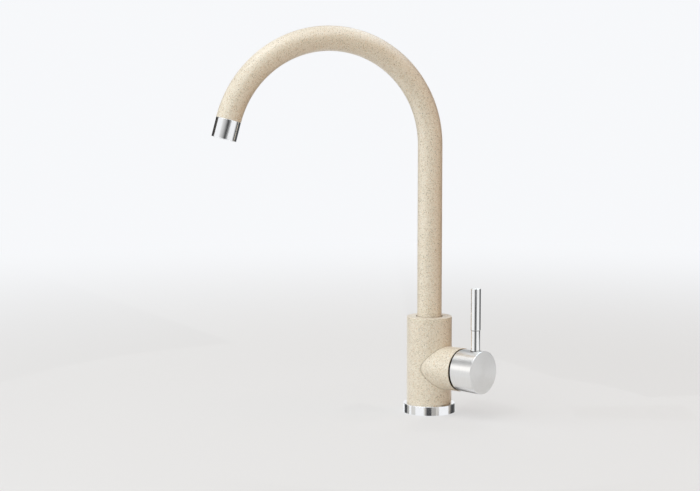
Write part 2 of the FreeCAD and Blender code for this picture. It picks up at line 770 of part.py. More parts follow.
def make_rotor():
    """The plastic rotor: it turns with the lever, guides the carrier and holds the pivot pin in two cheeks."""
    drum = turned(
        "rotor_drum",
        LEVER_FRAME,
        [
            ("0", ROTOR_BACK),
            (f"{SHELL_BORE} - Sizes.running_clearance", ROTOR_BACK),
            (f"{SHELL_BORE} - Sizes.running_clearance", ROTOR_SHOULDER),
            ("Sizes.rotor_neck_radius", ROTOR_SHOULDER),
            ("Sizes.rotor_neck_radius", ROTOR_TOP),
            ("0", ROTOR_TOP),
        ],
    )
    fork = block(
        "cheek_bar",
        LEVER_FRAME,
        ("2 * Sizes.cheek_radius", "2 * Sizes.cheek_outer", f"{PIVOT} - {ROTOR_SHOULDER}"),
        ("-Sizes.cheek_radius", "-Sizes.cheek_outer", ROTOR_SHOULDER),
    )
    eyes = cylinder(
        "cheek_eyes",
        LEVER_FRAME,
        "Sizes.cheek_radius",
        "2 * Sizes.cheek_outer",
        ("0", "-Sizes.cheek_outer", PIVOT),
        "Y",
    )
    gap = block(
        "cheek_gap",
        LEVER_FRAME,
        ("2 * Sizes.rotor_neck_radius", "2 * Sizes.cheek_inner", f"{PIVOT} - {ROTOR_TOP} + 2 * Sizes.cheek_radius"),
        ("-Sizes.rotor_neck_radius", "-Sizes.cheek_inner", ROTOR_TOP),
    )
    # The guide slot: a round hole drawn out upwards by the disc's travel
    slot_radius = "(Sizes.tower_radius + Sizes.tower_clearance)"
    slot_length = f"{ROTOR_TOP} - {ROTOR_BACK}"
    slot = [
        cylinder("slot_low", LEVER_FRAME, slot_radius, slot_length, ("0", "0", ROTOR_BACK)),
        cylinder("slot_high", LEVER_FRAME, slot_radius, slot_length, ("Sizes.disc_travel", "0", ROTOR_BACK)),
        block(
            "slot_middle",
            LEVER_FRAME,
            ("Sizes.disc_travel", f"2 * {slot_radius}", slot_length),
            ("0", f"-{slot_radius}", ROTOR_BACK),
        ),
    ]
    hole = cylinder(
        "pin_hole", LEVER_FRAME, "Sizes.pin_radius", "2 * Sizes.cheek_outer", ("0", "-Sizes.cheek_outer", PIVOT), "Y"
    )
    keep(cut("rotor_fork", fuse("rotor_blank", [drum, fork, eyes]), [gap, hole] + slot), "rotor")
    pin = cylinder(
        "pin", LEVER_FRAME, "Sizes.pin_radius", "2 * Sizes.cheek_outer", ("0", "-Sizes.cheek_outer", PIVOT), "Y"
    )
    keep(pin, "stem_pin")


def make_stem():
    """The lever's steel stem: a ball in the carrier, a neck, and a square bar through the pivot into the cap."""
    knob = ball("stem_ball", LEVER_FRAME, "Sizes.ball_radius", ("0", "0", BALL_STATION))
    neck = cylinder(
        "stem_neck", LEVER_FRAME, "Sizes.stem_neck_radius", f"{STEM_BACK} - {BALL_STATION}", ("0", "0", BALL_STATION)
    )
    bar = block(
        "stem_bar",
        LEVER_FRAME,
        ("Sizes.stem_square", "Sizes.stem_square", f"{STEM_END} - {STEM_BACK}"),
        ("-Sizes.stem_square / 2", "-Sizes.stem_square / 2", STEM_BACK),
    )
    hole = cylinder(
        "stem_hole",
        LEVER_FRAME,
        "Sizes.pin_radius + Sizes.running_clearance",
        "Sizes.stem_square",
        ("0", "-Sizes.stem_square / 2", PIVOT),
        "Y",
    )
    keep(cut("stem", fuse("stem_blank", [knob, neck, bar]), [hole]), "lever_stem")


def make_retainers():
    """The ring nut that holds the cartridge and the ball-shaped cover in front of it."""
    nut = sleeve(
        "nut_ring",
        LEVER_FRAME,
        NUT_RADIUS,
        "Sizes.rotor_neck_radius + Sizes.nut_bore_clearance",
        NUT_BACK,
        NUT_FACE,
    )
    keep(nut, "cartridge_nut")
    outer = ball("cover_ball", LEVER_FRAME, COVER_RADIUS, ("0", "0", PIVOT))
    inner = ball("cover_hollow", LEVER_FRAME, f"{COVER_RADIUS} - Sizes.cover_wall", ("0", "0", PIVOT))
    span = cylinder(
        "cover_span",
        LEVER_FRAME,
        "Sizes.cap_rim_radius",
        f"{PIVOT} - Sizes.cover_open - {NUT_FACE}",
        ("0", "0", NUT_FACE),
    )
    flange = cylinder(
        "cover_flange",
        LEVER_FRAME,
        f"{NUT_RADIUS} - Sizes.cover_flange_margin",
        "Sizes.cover_flange_thickness",
        ("0", "0", NUT_FACE),
    )
    dome = common("cover_dome", outer, span)
    keep(cut("cover", fuse("cover_blank", [dome, flange]), [inner]), "cartridge_cover")


def make_cap():
    """The lever cap: a hollow cup with a hub for the stem, a rib for the rod, and its screws."""
    cup = turned(
        "cup",
        LEVER_FRAME,
        [
            (CAP_BORE, CAP_RIM),
            ("Sizes.cap_rim_radius", CAP_RIM),
            (CAP_FACE_RADIUS, f"{CAP_FACE} - Sizes.cap_bevel"),
            (f"{CAP_FACE_RADIUS} - Sizes.cap_bevel", CAP_FACE),
            ("0", CAP_FACE),
            ("0", CAP_FLOOR),
            (CAP_BORE, CAP_FLOOR),
        ],
    )
    hub = cylinder("hub", LEVER_FRAME, "Sizes.hub_radius", f"{CAP_FLOOR} - {HUB_BACK}", ("0", "0", HUB_BACK))
    rib = block(
        "rod_rib",
        LEVER_FRAME,
        (CAP_BORE, "Sizes.rib_width", f"{CAP_FLOOR} - {HUB_BACK}"),
        ("0", "-Sizes.rib_width / 2", HUB_BACK),
    )
    socket_side = "(Sizes.stem_square + 2 * Sizes.stem_clearance)"
    socket = block(
        "stem_socket",
        LEVER_FRAME,
        (socket_side, socket_side, "Sizes.stem_grip_length + Sizes.stem_clearance"),
        (f"-{socket_side} / 2", f"-{socket_side} / 2", HUB_BACK),
    )
    floor = "(Sizes.cap_rim_radius - Sizes.spot_face_depth)"
    spot_radius = "Sizes.rod_radius + Sizes.spot_face_margin"
    spot_face = cylinder(
        "spot_face", LEVER_FRAME, spot_radius, f"{CAP_FACE_RADIUS} - {floor}", (floor, "0", ROD_STATION), "X"
    )
    rod_hole = cylinder(
        "rod_hole",
        LEVER_FRAME,
        "Sizes.rod_thread_radius",
        "Sizes.rod_thread_length",
        (f"{floor} - Sizes.rod_thread_length", "0", ROD_STATION),
        "X",
    )
    screw_hole = cylinder(
        "screw_hole", LEVER_FRAME, "Sizes.set_screw_radius", CAP_FACE_RADIUS, ("0", "0", ROD_STATION), "-X"
    )
    # The rim is cut on a slant that opens the gap towards the bottom, about its topmost point
    slant = doc.addObject("Part::Box", "rim_slant")
    slant.setExpression("Length", "4 * Sizes.cap_rim_radius")
    slant.setExpression("Width", "4 * Sizes.cap_rim_radius")
    slant.setExpression("Height", "Sizes.cap_wall")
    slant.setExpression(
        "Placement",
        f"{LEVER_FRAME} * placement(vector(Sizes.cap_rim_radius; 0; {CAP_RIM}); rotationy(Sizes.cap_slant)) * "
        "placement(vector(-4 * Sizes.cap_rim_radius; -2 * Sizes.cap_rim_radius; -Sizes.cap_wall); rotationz(0))",
    )
    tools = [socket, spot_face, rod_hole, screw_hole, slant]
    keep(cut("cap", fuse("cap_blank", [cup, hub, rib]), tools), "lever_cap")

    screw = cylinder(
        "grub_shank",
        LEVER_FRAME,
        "Sizes.set_screw_radius",
        "Sizes.set_screw_length",
        (f"-{socket_side} / 2", "0", ROD_STATION),
        "-X",
    )
    screw_socket = hexagon(
        "grub_socket",
        LEVER_FRAME,
        "Sizes.screw_socket_radius",
        "Sizes.screw_socket_depth",
        (f"Sizes.screw_socket_depth - {socket_side} / 2 - Sizes.set_screw_length", "0", ROD_STATION),
        "-X",
    )
    keep(cut("grub_screw", screw, [screw_socket]), "lever_set_screw")
    plug = cylinder(
        "plug",
        LEVER_FRAME,
        "Sizes.set_screw_radius",
        "Sizes.cap_wall",
        (f"-{CAP_BORE}", "0", ROD_STATION),
        "-X",
    )
    keep(plug, "screw_plug")


def make_handle():
    """The upright handle: a threaded stem in the cap, a seat ring round its foot and the thicker grip on top."""
    floor = "(Sizes.cap_rim_radius - Sizes.spot_face_depth)"
    step = f"({floor} + Sizes.rod_length)"
    handle_frame = f"placement(vector({ROD_STATION}; 0; {HOUSING_HEIGHT}); rotationz(0))"
    spigot_end = f"({step} + Sizes.spigot_length)"
    keep(
        turned(
            "rod",
            handle_frame,
            [
                ("0", f"{floor} - Sizes.rod_thread_length"),
                ("Sizes.rod_thread_radius", f"{floor} - Sizes.rod_thread_length"),
                ("Sizes.rod_thread_radius", floor),
                ("Sizes.rod_radius", floor),
                ("Sizes.rod_radius", step),
                ("Sizes.rod_thread_radius", step),
                ("Sizes.rod_thread_radius", spigot_end),
                ("0", spigot_end),
            ],
        ),
        "lever_rod",
    )
    seat_radius = "Sizes.rod_radius + Sizes.spot_face_margin - Sizes.thread_clearance"
    keep(
        sleeve(
            "seat_ring", handle_frame, seat_radius, "Sizes.rod_radius", floor, f"{floor} + Sizes.seat_ring_height"
        ),
        "rod_seat_ring",
    )
    top = f"({step} + Sizes.grip_length)"
    bore = "(Sizes.rod_thread_radius + Sizes.thread_clearance)"
    bore_end = f"({spigot_end} + Sizes.thread_clearance)"
    keep(
        turned(
            "grip",
            handle_frame,
            [
                (bore, step),
                ("Sizes.grip_radius - Sizes.grip_bevel", step),
                ("Sizes.grip_radius", f"{step} + Sizes.grip_bevel"),
                ("Sizes.grip_radius", f"{top} - Sizes.grip_bevel"),
                ("Sizes.grip_radius - Sizes.grip_bevel", top),
                ("0", top),
                ("0", bore_end),
                (bore, bore_end),
            ],
        ),
        "lever_grip",
    )


make_body()
make_base()
make_deck_fixing()
make_spout()
make_spout_joint()
make_outlet()
make_cartridge_shell()
make_moving_disc()
make_rotor()
make_stem()
make_retainers()
make_cap()
make_handle()
doc.recompute()

for item in doc.Objects:
    if "Invalid" in item.State or "Error" in item.State:
        raise RuntimeError(f"{item.Label} failed: {item.State}")
for piece in finished:
    if piece.Shape.isNull() or not piece.Shape.isValid() or not piece.Shape.Solids:
        raise RuntimeError(f"{piece.Label} has no valid solid")

os.makedirs("parts", exist_ok=True)
for piece in finished:
    piece.Shape.exportStep(f"parts/{piece.Label}.step")
    print(piece.Label, len(piece.Shape.Solids), "solid(s)", round(piece.Shape.Volume, 1), "mm3")
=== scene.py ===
import json
from math import atan2, cos, degrees, pi, radians, sin

import bmesh
import bpy
from mathutils import Matrix, Vector

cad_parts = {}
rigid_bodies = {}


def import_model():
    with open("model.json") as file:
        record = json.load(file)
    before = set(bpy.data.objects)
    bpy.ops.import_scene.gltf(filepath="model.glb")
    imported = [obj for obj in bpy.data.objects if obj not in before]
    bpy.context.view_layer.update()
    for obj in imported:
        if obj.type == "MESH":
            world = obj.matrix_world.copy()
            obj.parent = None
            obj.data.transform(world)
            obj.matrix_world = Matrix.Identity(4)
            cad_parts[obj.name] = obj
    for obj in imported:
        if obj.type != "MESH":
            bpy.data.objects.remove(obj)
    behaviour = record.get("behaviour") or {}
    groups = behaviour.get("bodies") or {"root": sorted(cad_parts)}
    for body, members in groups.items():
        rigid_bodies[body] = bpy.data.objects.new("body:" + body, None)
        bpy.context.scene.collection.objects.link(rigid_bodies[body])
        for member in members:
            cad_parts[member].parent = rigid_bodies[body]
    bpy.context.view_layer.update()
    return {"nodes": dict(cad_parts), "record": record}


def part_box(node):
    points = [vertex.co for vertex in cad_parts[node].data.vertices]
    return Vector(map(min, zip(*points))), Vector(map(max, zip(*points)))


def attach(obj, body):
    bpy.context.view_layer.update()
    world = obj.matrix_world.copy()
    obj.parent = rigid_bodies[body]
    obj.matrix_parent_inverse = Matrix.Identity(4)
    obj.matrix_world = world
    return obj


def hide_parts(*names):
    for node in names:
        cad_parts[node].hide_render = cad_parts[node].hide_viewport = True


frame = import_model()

nodes = frame["nodes"]
record = frame["record"]
bodies = {node: body for body, group in record["behaviour"]["bodies"].items() for node in group}
slots = {part["node"]: part["material_slot"] for part in record["subparts"]}
joints = {joint["name"]: joint for joint in record["behaviour"]["joints"]}
scene = bpy.context.scene
scene.view_settings.view_transform = "Standard"

# Camera: fitted to the tap's edges in the photograph, in the row frame
CAMERA_PLACE = (1.1543, -1.4215, 0.3627)
CAMERA_PITCH = radians(84.03)
CAMERA_HEADING = radians(41.62)
CAMERA_LENS = 92.8

# Headings about the tap are in degrees: 0 is straight back along the camera's view, and 90 is to its right.
# The camera itself stands at the heading CAMERA_SIDE, because the body isn't in the middle of the picture.
FRONT = CAMERA_HEADING - pi / 2
CAMERA_SIDE = degrees(atan2(CAMERA_PLACE[1], CAMERA_PLACE[0]) - FRONT)

# Places on the tap that its finishes go by, in metres: the side housing lies along x at the lever's height
LEVER_STATION, _, HOUSING_AXIS = joints["flow"]["pos_m"]
BARREL_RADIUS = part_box("mixer_body")[1].y
HOUSING_RADIUS = 0.022007
CREASE_CORE = 0.0001
CREASE_REACH = 0.00045
MOUTH_START = 0.0385
MOUTH_RADIUS = 0.0213
COVER_START = 0.0300
SPOUT_BORE_TOP = 0.0988
SPOUT_BORE_RADIUS = 0.0140
SPOUT_BORE_SKIN = 0.0006
INLET_TOP = 0.0145
UNDERSIDE_MARGIN = 0.0015
HANDLE_JOINT = 0.0900
JOINT_CORE = 0.0002
JOINT_REACH = 0.0006

# Colours and gloss of the finishes
COAT_GROUND = (0.775, 0.685, 0.550)
COAT_SHADE = (0.73, 0.63, 0.49)
# Painted shade: the coat is darkened along the crease round the side housing
CREASE_SHADE_COLOUR = (0.24, 0.16, 0.09)
CREASE_SHADE_SHARE = 0.45
BARE_BRASS = (0.34, 0.21, 0.09)
# Painted shade: the chrome of the cartridge's cover, in the gap behind the cap, is darkened
COVER_SHADE_COLOUR = (0.085, 0.065, 0.048)
COVER_ROUGHNESS = 0.45
# Painted shade in the joint between the rod and its grip
JOINT_SHADE_COLOUR = (0.16, 0.15, 0.14)
JOINT_SHADE_SHARE = 0.75
BRUSHED_DARK = (0.75, 0.74, 0.72)
BRUSHED_BRIGHT = (0.79, 0.78, 0.76)

# The coat's grains: channel of a cell's random colour, the values of that channel between which the cell is
# a grain, the grain's colour, and the share of the coat's colour that it hides
GRAINS = [
    (0, 0.00, 0.14, (0.43, 0.30, 0.170), 0.75),
    (0, 0.14, 0.23, (0.64, 0.40, 0.190), 0.70),
    (0, 0.23, 0.38, (0.92, 0.86, 0.750), 0.80),
    (1, 0.00, 0.09, (0.38, 0.35, 0.210), 0.75),
    (1, 0.09, 0.115, (0.12, 0.08, 0.050), 0.85),
]
# Coarse and fine grains: how many to the metre, and how far each reaches in its cell
GRAIN_SIZES = ((880, 0.50), (1600, 0.55))
GRAIN_EDGE = 0.22

# Finishes of nearly one tone: bright and dark colour, lowest and highest roughness, bump and metallic
EVEN_FINISHES = {
    "chrome": ((0.96, 0.965, 0.97), (0.93, 0.935, 0.94), (0.08, 0.12), 0, 1),
    "polished_steel": ((0.95, 0.95, 0.94), (0.91, 0.91, 0.90), (0.08, 0.13), 0, 1),
    "plain_steel": ((0.62, 0.63, 0.64), (0.50, 0.51, 0.53), (0.25, 0.45), 0.1, 1),
    "brass": ((0.80, 0.62, 0.30), (0.66, 0.48, 0.22), (0.18, 0.35), 0.1, 1),
    "black_rubber": ((0.035, 0.035, 0.036), (0.02, 0.02, 0.02), (0.6, 0.85), 0.4, 0),
    "white_plastic": ((0.82, 0.82, 0.80), (0.78, 0.78, 0.76), (0.35, 0.5), 0.15, 0),
    "grey_plastic": ((0.42, 0.43, 0.45), (0.36, 0.37, 0.39), (0.4, 0.55), 0.15, 0),
    "ceramic": ((0.88, 0.88, 0.85), (0.84, 0.84, 0.81), (0.06, 0.14), 0.05, 0),
}


# Shader nodes

def new_finish(name):
    finish = bpy.data.materials.new(name)
    finish.use_nodes = True
    return finish, finish.node_tree, finish.node_tree.nodes["Principled BSDF"]


def plain_material(name, colour, roughness):
    finish, tree, shader = new_finish(name)
    shader.inputs["Base Color"].default_value = (*colour, 1)
    shader.inputs["Roughness"].default_value = roughness
    return finish


def new_group(name, inputs, outputs):
    group = bpy.data.node_groups.new(name, "ShaderNodeTree")
    for label, kind, value in inputs:
        socket = group.interface.new_socket(name=label, in_out="INPUT", socket_type=kind)
        socket.default_value = value
    for label, kind in outputs:
        group.interface.new_socket(name=label, in_out="OUTPUT", socket_type=kind)
    return group


def put_out(group, **values):
    """Links the group's results to its outputs of the same names."""
    result = group.nodes.new("NodeGroupOutput")
    for label, value in values.items():
        group.links.new(value, result.inputs[label])


def placed(tree, group):
    node = tree.nodes.new("ShaderNodeGroup")
    node.node_tree = group
    return node


def object_coordinates(tree):
    return tree.nodes.new("ShaderNodeTexCoord").outputs["Object"]


def split_coordinates(tree):
    """The x, y and z of Object coordinates."""
    split = tree.nodes.new("ShaderNodeSeparateXYZ")
    tree.links.new(object_coordinates(tree), split.inputs[0])
    return split.outputs


def maths(tree, operation, first, second=None, third=None):
    node = tree.nodes.new("ShaderNodeMath")
    node.operation = operation
    for socket, value in zip(node.inputs, (first, second, third)):
        if value is None:
            continue
        if isinstance(value, bpy.types.NodeSocket):
            tree.links.new(value, socket)
        else:
            socket.default_value = value
    return node.outputs[0]


def scaled(tree, value, factor):
    return maths(tree, "MULTIPLY", value, factor)


def away_from(tree, value, place):
    """How far a value lies from a place, on either side."""
    return maths(tree, "ABSOLUTE", maths(tree, "SUBTRACT", value, place))


def between(tree, value, lowest, highest):
    """1 where a value lies between two levels, and 0 elsewhere."""
    above = maths(tree, "GREATER_THAN", value, lowest)
    below = maths(tree, "LESS_THAN", value, highest)
    return maths(tree, "MULTIPLY", above, below)


def length_of(tree, first, second):
    """The length of the two together, as of the sides of a right angle."""
    squares = maths(tree, "ADD", maths(tree, "POWER", first, 2), maths(tree, "POWER", second, 2))
    return maths(tree, "SQRT", squares)


def ranged(tree, value, lowest, highest, new_lowest, new_highest):
    """A value taken softly from one range to another."""
    node = tree.nodes.new("ShaderNodeMapRange")
    node.interpolation_type = "SMOOTHSTEP"
    tree.links.new(value, node.inputs["Value"])
    node.inputs["From Min"].default_value = lowest
    node.inputs["From Max"].default_value = highest
    node.inputs["To Min"].default_value = new_lowest
    node.inputs["To Max"].default_value = new_highest
    return node.outputs["Result"]


def mixed(tree, share, first, second):
    """One colour mixed into another by a share that changes over the surface."""
    node = tree.nodes.new("ShaderNodeMix")
    node.data_type = "RGBA"
    tree.links.new(share, node.inputs["Factor"])
    for socket, value in ((node.inputs["A"], first), (node.inputs["B"], second)):
        if isinstance(value, bpy.types.NodeSocket):
            tree.links.new(value, socket)
        else:
            socket.default_value = (*value, 1)
    return node.outputs["Result"]


def noise(tree, vector, scale, detail=2.0, roughness=0.5):
    node = tree.nodes.new("ShaderNodeTexNoise")
    node.inputs["Scale"].default_value = scale
    node.inputs["Detail"].default_value = detail
    node.inputs["Roughness"].default_value = roughness
    tree.links.new(vector, node.inputs["Vector"])
    return node.outputs["Fac"]


def cells(tree, vector, scale):
    """Random round cells: their distance field and a random colour for each."""
    node = tree.nodes.new("ShaderNodeTexVoronoi")
    node.inputs["Scale"].default_value = scale
    tree.links.new(vector, node.inputs["Vector"])
    return node.outputs["Distance"], node.outputs["Color"]


def with_bump(tree, shader, height, strength, distance):
    bump = tree.nodes.new("ShaderNodeBump")
    bump.inputs["Strength"].default_value = strength
    bump.inputs["Distance"].default_value = distance
    tree.links.new(height, bump.inputs["Height"])
    tree.links.new(bump.outputs["Normal"], shader.inputs["Normal"])


def paint_over(finish, share, colour):
    """Mixes a plain colour over a finish's own by a share that changes over the surface."""
    tree = finish.node_tree
    socket = tree.nodes["Principled BSDF"].inputs["Base Color"]
    own_colour = socket.links[0].from_socket
    tree.links.new(mixed(tree, share, own_colour, colour), socket)


# Finishes

# What the groups that make a whole finish put out
LOOK_OUTPUTS = [
    ("Colour", "NodeSocketColor"),
    ("Roughness", "NodeSocketFloat"),
    ("Height", "NodeSocketFloat"),
]


def granite_speckle():
    """The granite effect of the coat: coarse and fine grains of several stone colours in a cream ground."""
    group = new_group("granite speckle", [], LOOK_OUTPUTS)
    where = object_coordinates(group)
    clouds = noise(group, where, scale=55, detail=3)
    colour = mixed(group, ranged(group, clouds, 0.35, 0.65, 0, 0.35), COAT_GROUND, COAT_SHADE)
    for scale, reach in GRAIN_SIZES:
        distance, random_colour = cells(group, where, scale)
        split = group.nodes.new("ShaderNodeSeparateColor")
        group.links.new(random_colour, split.inputs[0])
        round_grain = ranged(group, distance, reach - GRAIN_EDGE, reach, 1, 0)
        for channel, lowest, highest, grain_colour, share in GRAINS:
            chosen = between(group, split.outputs[channel], lowest, highest)
            mask = scaled(group, maths(group, "MULTIPLY", chosen, round_grain), share)
            colour = mixed(group, mask, colour, grain_colour)
    fine = noise(group, where, scale=2600)
    put_out(group, Colour=colour, Roughness=ranged(group, fine, 0.3, 0.7, 0.36, 0.50), Height=fine)
    return group


def crease_shade_and_bare():
    """Painted shade along the crease round the side housing, and where the casting is bare."""
    outputs = [("Crease", "NodeSocketFloat"), ("Bare", "NodeSocketFloat")]
    group = new_group("seam and bare metal", [], outputs)
    x, y, z = split_coordinates(group)
    barrel_reach = length_of(group, x, y)
    housing_reach = length_of(group, y, maths(group, "SUBTRACT", z, HOUSING_AXIS))
    to_barrel = away_from(group, barrel_reach, BARREL_RADIUS)
    to_housing = away_from(group, housing_reach, HOUSING_RADIUS)
    to_crease = maths(group, "MAXIMUM", to_barrel, to_housing)
    near_crease = ranged(group, to_crease, CREASE_CORE, CREASE_REACH, 1, 0)
    crease = maths(group, "MULTIPLY", near_crease, maths(group, "GREATER_THAN", x, 0))
    past_start = maths(group, "GREATER_THAN", x, MOUTH_START)
    in_mouth = maths(group, "MULTIPLY", past_start, maths(group, "LESS_THAN", housing_reach, MOUTH_RADIUS))
    past_tube = between(group, barrel_reach, SPOUT_BORE_RADIUS - SPOUT_BORE_SKIN, SPOUT_BORE_RADIUS)
    in_bore = maths(group, "MULTIPLY", maths(group, "LESS_THAN", z, SPOUT_BORE_TOP), past_tube)
    low_down = maths(group, "LESS_THAN", z, INLET_TOP)
    within_barrel = maths(group, "LESS_THAN", barrel_reach, BARREL_RADIUS - UNDERSIDE_MARGIN)
    underneath = maths(group, "MULTIPLY", low_down, within_barrel)
    inside = maths(group, "MAXIMUM", in_mouth, in_bore)
    put_out(group, Crease=crease, Bare=maths(group, "MAXIMUM", inside, underneath))
    return group


def granite_coat():
    finish, tree, shader = new_finish("granite_coat")
    speckle = placed(tree, granite_speckle())
    places = placed(tree, crease_shade_and_bare())
    # Painted shade: the coat is darkened along the crease round the side housing
    crease = scaled(tree, places.outputs["Crease"], CREASE_SHADE_SHARE)
    coat = mixed(tree, crease, speckle.outputs["Colour"], CREASE_SHADE_COLOUR)
    tree.links.new(mixed(tree, places.outputs["Bare"], coat, BARE_BRASS), shader.inputs["Base Color"])
    tree.links.new(places.outputs["Bare"], shader.inputs["Metallic"])
    tree.links.new(speckle.outputs["Roughness"], shader.inputs["Roughness"])
    with_bump(tree, shader, speckle.outputs["Height"], strength=0.25, distance=0.0001)
    shader.inputs["Coat Weight"].default_value = 0.6
    shader.inputs["Coat Roughness"].default_value = 0.32
    shader.inputs["Sheen Weight"].default_value = 0.2
    shader.inputs["Sheen Roughness"].default_value = 0.4
    return finish


def wiped_gloss():
    """Slow changes of gloss, as on metal that has been wiped and handled."""
    inputs = [
        ("Roughness low", "NodeSocketFloat", 0.05),
        ("Roughness high", "NodeSocketFloat", 0.12),
        ("Dark", "NodeSocketColor", (0.7, 0.7, 0.7, 1)),
        ("Bright", "NodeSocketColor", (0.8, 0.8, 0.8, 1)),
    ]
    group = new_group("wiped gloss", inputs, LOOK_OUTPUTS)
    given = group.nodes.new("NodeGroupInput")
    where = object_coordinates(group)
    slow = ranged(group, noise(group, where, scale=70, detail=4, roughness=0.6), 0.35, 0.7, 0, 1)
    gloss = group.nodes.new("ShaderNodeMapRange")
    group.links.new(slow, gloss.inputs["Value"])
    group.links.new(given.outputs["Roughness low"], gloss.inputs["To Min"])
    group.links.new(given.outputs["Roughness high"], gloss.inputs["To Max"])
    colour = mixed(group, slow, given.outputs["Bright"], given.outputs["Dark"])
    fine = noise(group, where, scale=900)
    put_out(group, Colour=colour, Roughness=gloss.outputs["Result"], Height=fine)
    return group


def even_finish(name, group):
    """A finish whose gloss and tone change slowly between two levels each."""
    bright, dark, (smoothest, roughest), bump, metallic = EVEN_FINISHES[name]
    finish, tree, shader = new_finish(name)
    gloss = placed(tree, group)
    gloss.inputs["Roughness low"].default_value = smoothest
    gloss.inputs["Roughness high"].default_value = roughest
    gloss.inputs["Bright"].default_value = (*bright, 1)
    gloss.inputs["Dark"].default_value = (*dark, 1)
    tree.links.new(gloss.outputs["Colour"], shader.inputs["Base Color"])
    tree.links.new(gloss.outputs["Roughness"], shader.inputs["Roughness"])
    shader.inputs["Metallic"].default_value = metallic
    if bump:
        with_bump(tree, shader, gloss.outputs["Height"], bump, distance=0.0002)
    return finish


def chrome(group):
    """Chrome, rougher on the cartridge's cover and painted dark there as shade in the gap behind the cap."""
    finish = even_finish("chrome", group)
    tree = finish.node_tree
    # Painted shade on the cartridge's cover, which sits in the gap behind the cap
    cover = maths(tree, "GREATER_THAN", split_coordinates(tree)["X"], COVER_START)
    paint_over(finish, cover, COVER_SHADE_COLOUR)
    roughness = tree.nodes["Principled BSDF"].inputs["Roughness"]
    own_roughness = roughness.links[0].from_socket
    cover_roughness = scaled(tree, cover, COVER_ROUGHNESS)
    tree.links.new(maths(tree, "MAXIMUM", own_roughness, cover_roughness), roughness)
    return finish


def polished_steel(group):
    """Polished steel, with painted shade in the joint between the rod and its grip."""
    finish = even_finish("polished_steel", group)
    tree = finish.node_tree
    # Painted shade: a thin dark band at the grip's foot
    from_joint = away_from(tree, split_coordinates(tree)["Z"], HANDLE_JOINT)
    paint_over(finish, ranged(tree, from_joint, JOINT_CORE, JOINT_REACH, JOINT_SHADE_SHARE, 0), JOINT_SHADE_COLOUR)
    return finish


def turned_marks():
    """Fine rings left by turning and brushing about the lever's axis."""
    group = new_group("turned marks", [], [("Marks", "NodeSocketFloat"), ("Patches", "NodeSocketFloat")])
    marks_per_metre = 2600
    x, y, z = split_coordinates(group)
    up = maths(group, "SUBTRACT", z, HOUSING_AXIS)
    round_axis = maths(group, "ARCTAN2", up, y)
    stretched = group.nodes.new("ShaderNodeCombineXYZ")
    group.links.new(scaled(group, x, marks_per_metre), stretched.inputs["X"])
    group.links.new(scaled(group, length_of(group, up, y), marks_per_metre), stretched.inputs["Y"])
    group.links.new(scaled(group, round_axis, 1.5), stretched.inputs["Z"])
    marks = noise(group, stretched.outputs[0], scale=1)
    put_out(group, Marks=marks, Patches=noise(group, object_coordinates(group), scale=90, detail=3))
    return group


def brushed_steel():
    finish, tree, shader = new_finish("brushed_steel")
    rings = placed(tree, turned_marks())
    marks = rings.outputs["Marks"]
    colour = mixed(tree, ranged(tree, marks, 0.3, 0.7, 0, 1), BRUSHED_DARK, BRUSHED_BRIGHT)
    roughness = ranged(tree, rings.outputs["Patches"], 0.3, 0.7, 0.28, 0.30)
    tree.links.new(colour, shader.inputs["Base Color"])
    tree.links.new(roughness, shader.inputs["Roughness"])
    with_bump(tree, shader, marks, strength=0.02, distance=0.00001)
    shader.inputs["Metallic"].default_value = 1
    shader.inputs["Anisotropic"].default_value = 0.6
    shader.inputs["Anisotropic Rotation"].default_value = 0.25
    tangent = tree.nodes.new("ShaderNodeTangent")
    tangent.direction_type = "RADIAL"
    tangent.axis = "X"
    tree.links.new(tangent.outputs[0], shader.inputs["Tangent"])
    return finish


gloss_group = wiped_gloss()
finishes = {
    "granite_coat": granite_coat(),
    "chrome": chrome(gloss_group),
    "brushed_steel": brushed_steel(),
    "polished_steel": polished_steel(gloss_group),
}
for finish_name in EVEN_FINISHES:
    if finish_name not in finishes:
        finishes[finish_name] = even_finish(finish_name, gloss_group)
for node_name, slot in slots.items():
    node_materials = nodes[node_name].data.materials
    node_materials.clear()
    node_materials.append(finishes[slot])

# Modelling. Profiles and sizes are in millimetres; the meshes are in metres.

MM = 0.001
ROUND_SIDES = 128
ROD_SIDES = 96
SOFT_STEPS = 3
SMOOTH_ANGLE = radians(35)
WELD = 0.002


def low(node):
    """The lowest corner of a CAD node, in millimetres."""
    return [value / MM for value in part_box(node)[0]]


def high(node):
    """The highest corner of a CAD node, in millimetres."""
    return [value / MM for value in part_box(node)[1]]


def clear_selection():
    for item in bpy.data.objects:
        item.select_set(False)


def select_only(piece):
    clear_selection()
    piece.select_set(True)
    bpy.context.view_layer.objects.active = piece


def edit(piece):
    """Opens one piece for editing with everything in it selected."""
    select_only(piece)
    bpy.ops.object.mode_set(mode="EDIT")
    bpy.ops.mesh.select_all(action="SELECT")


def select_open_edges():
    bpy.ops.mesh.select_all(action="DESELECT")
    bpy.ops.mesh.select_non_manifold(extend=False, use_wire=False, use_multi_face=False, use_verts=False)


def close_mesh():
    """Joins doubled points, turns the faces outwards and leaves edit mode."""
    bpy.ops.mesh.select_all(action="SELECT")
    bpy.ops.mesh.remove_doubles(threshold=WELD * MM)
    bpy.ops.mesh.normals_make_consistent(inside=False)
    bpy.ops.object.mode_set(mode="OBJECT")


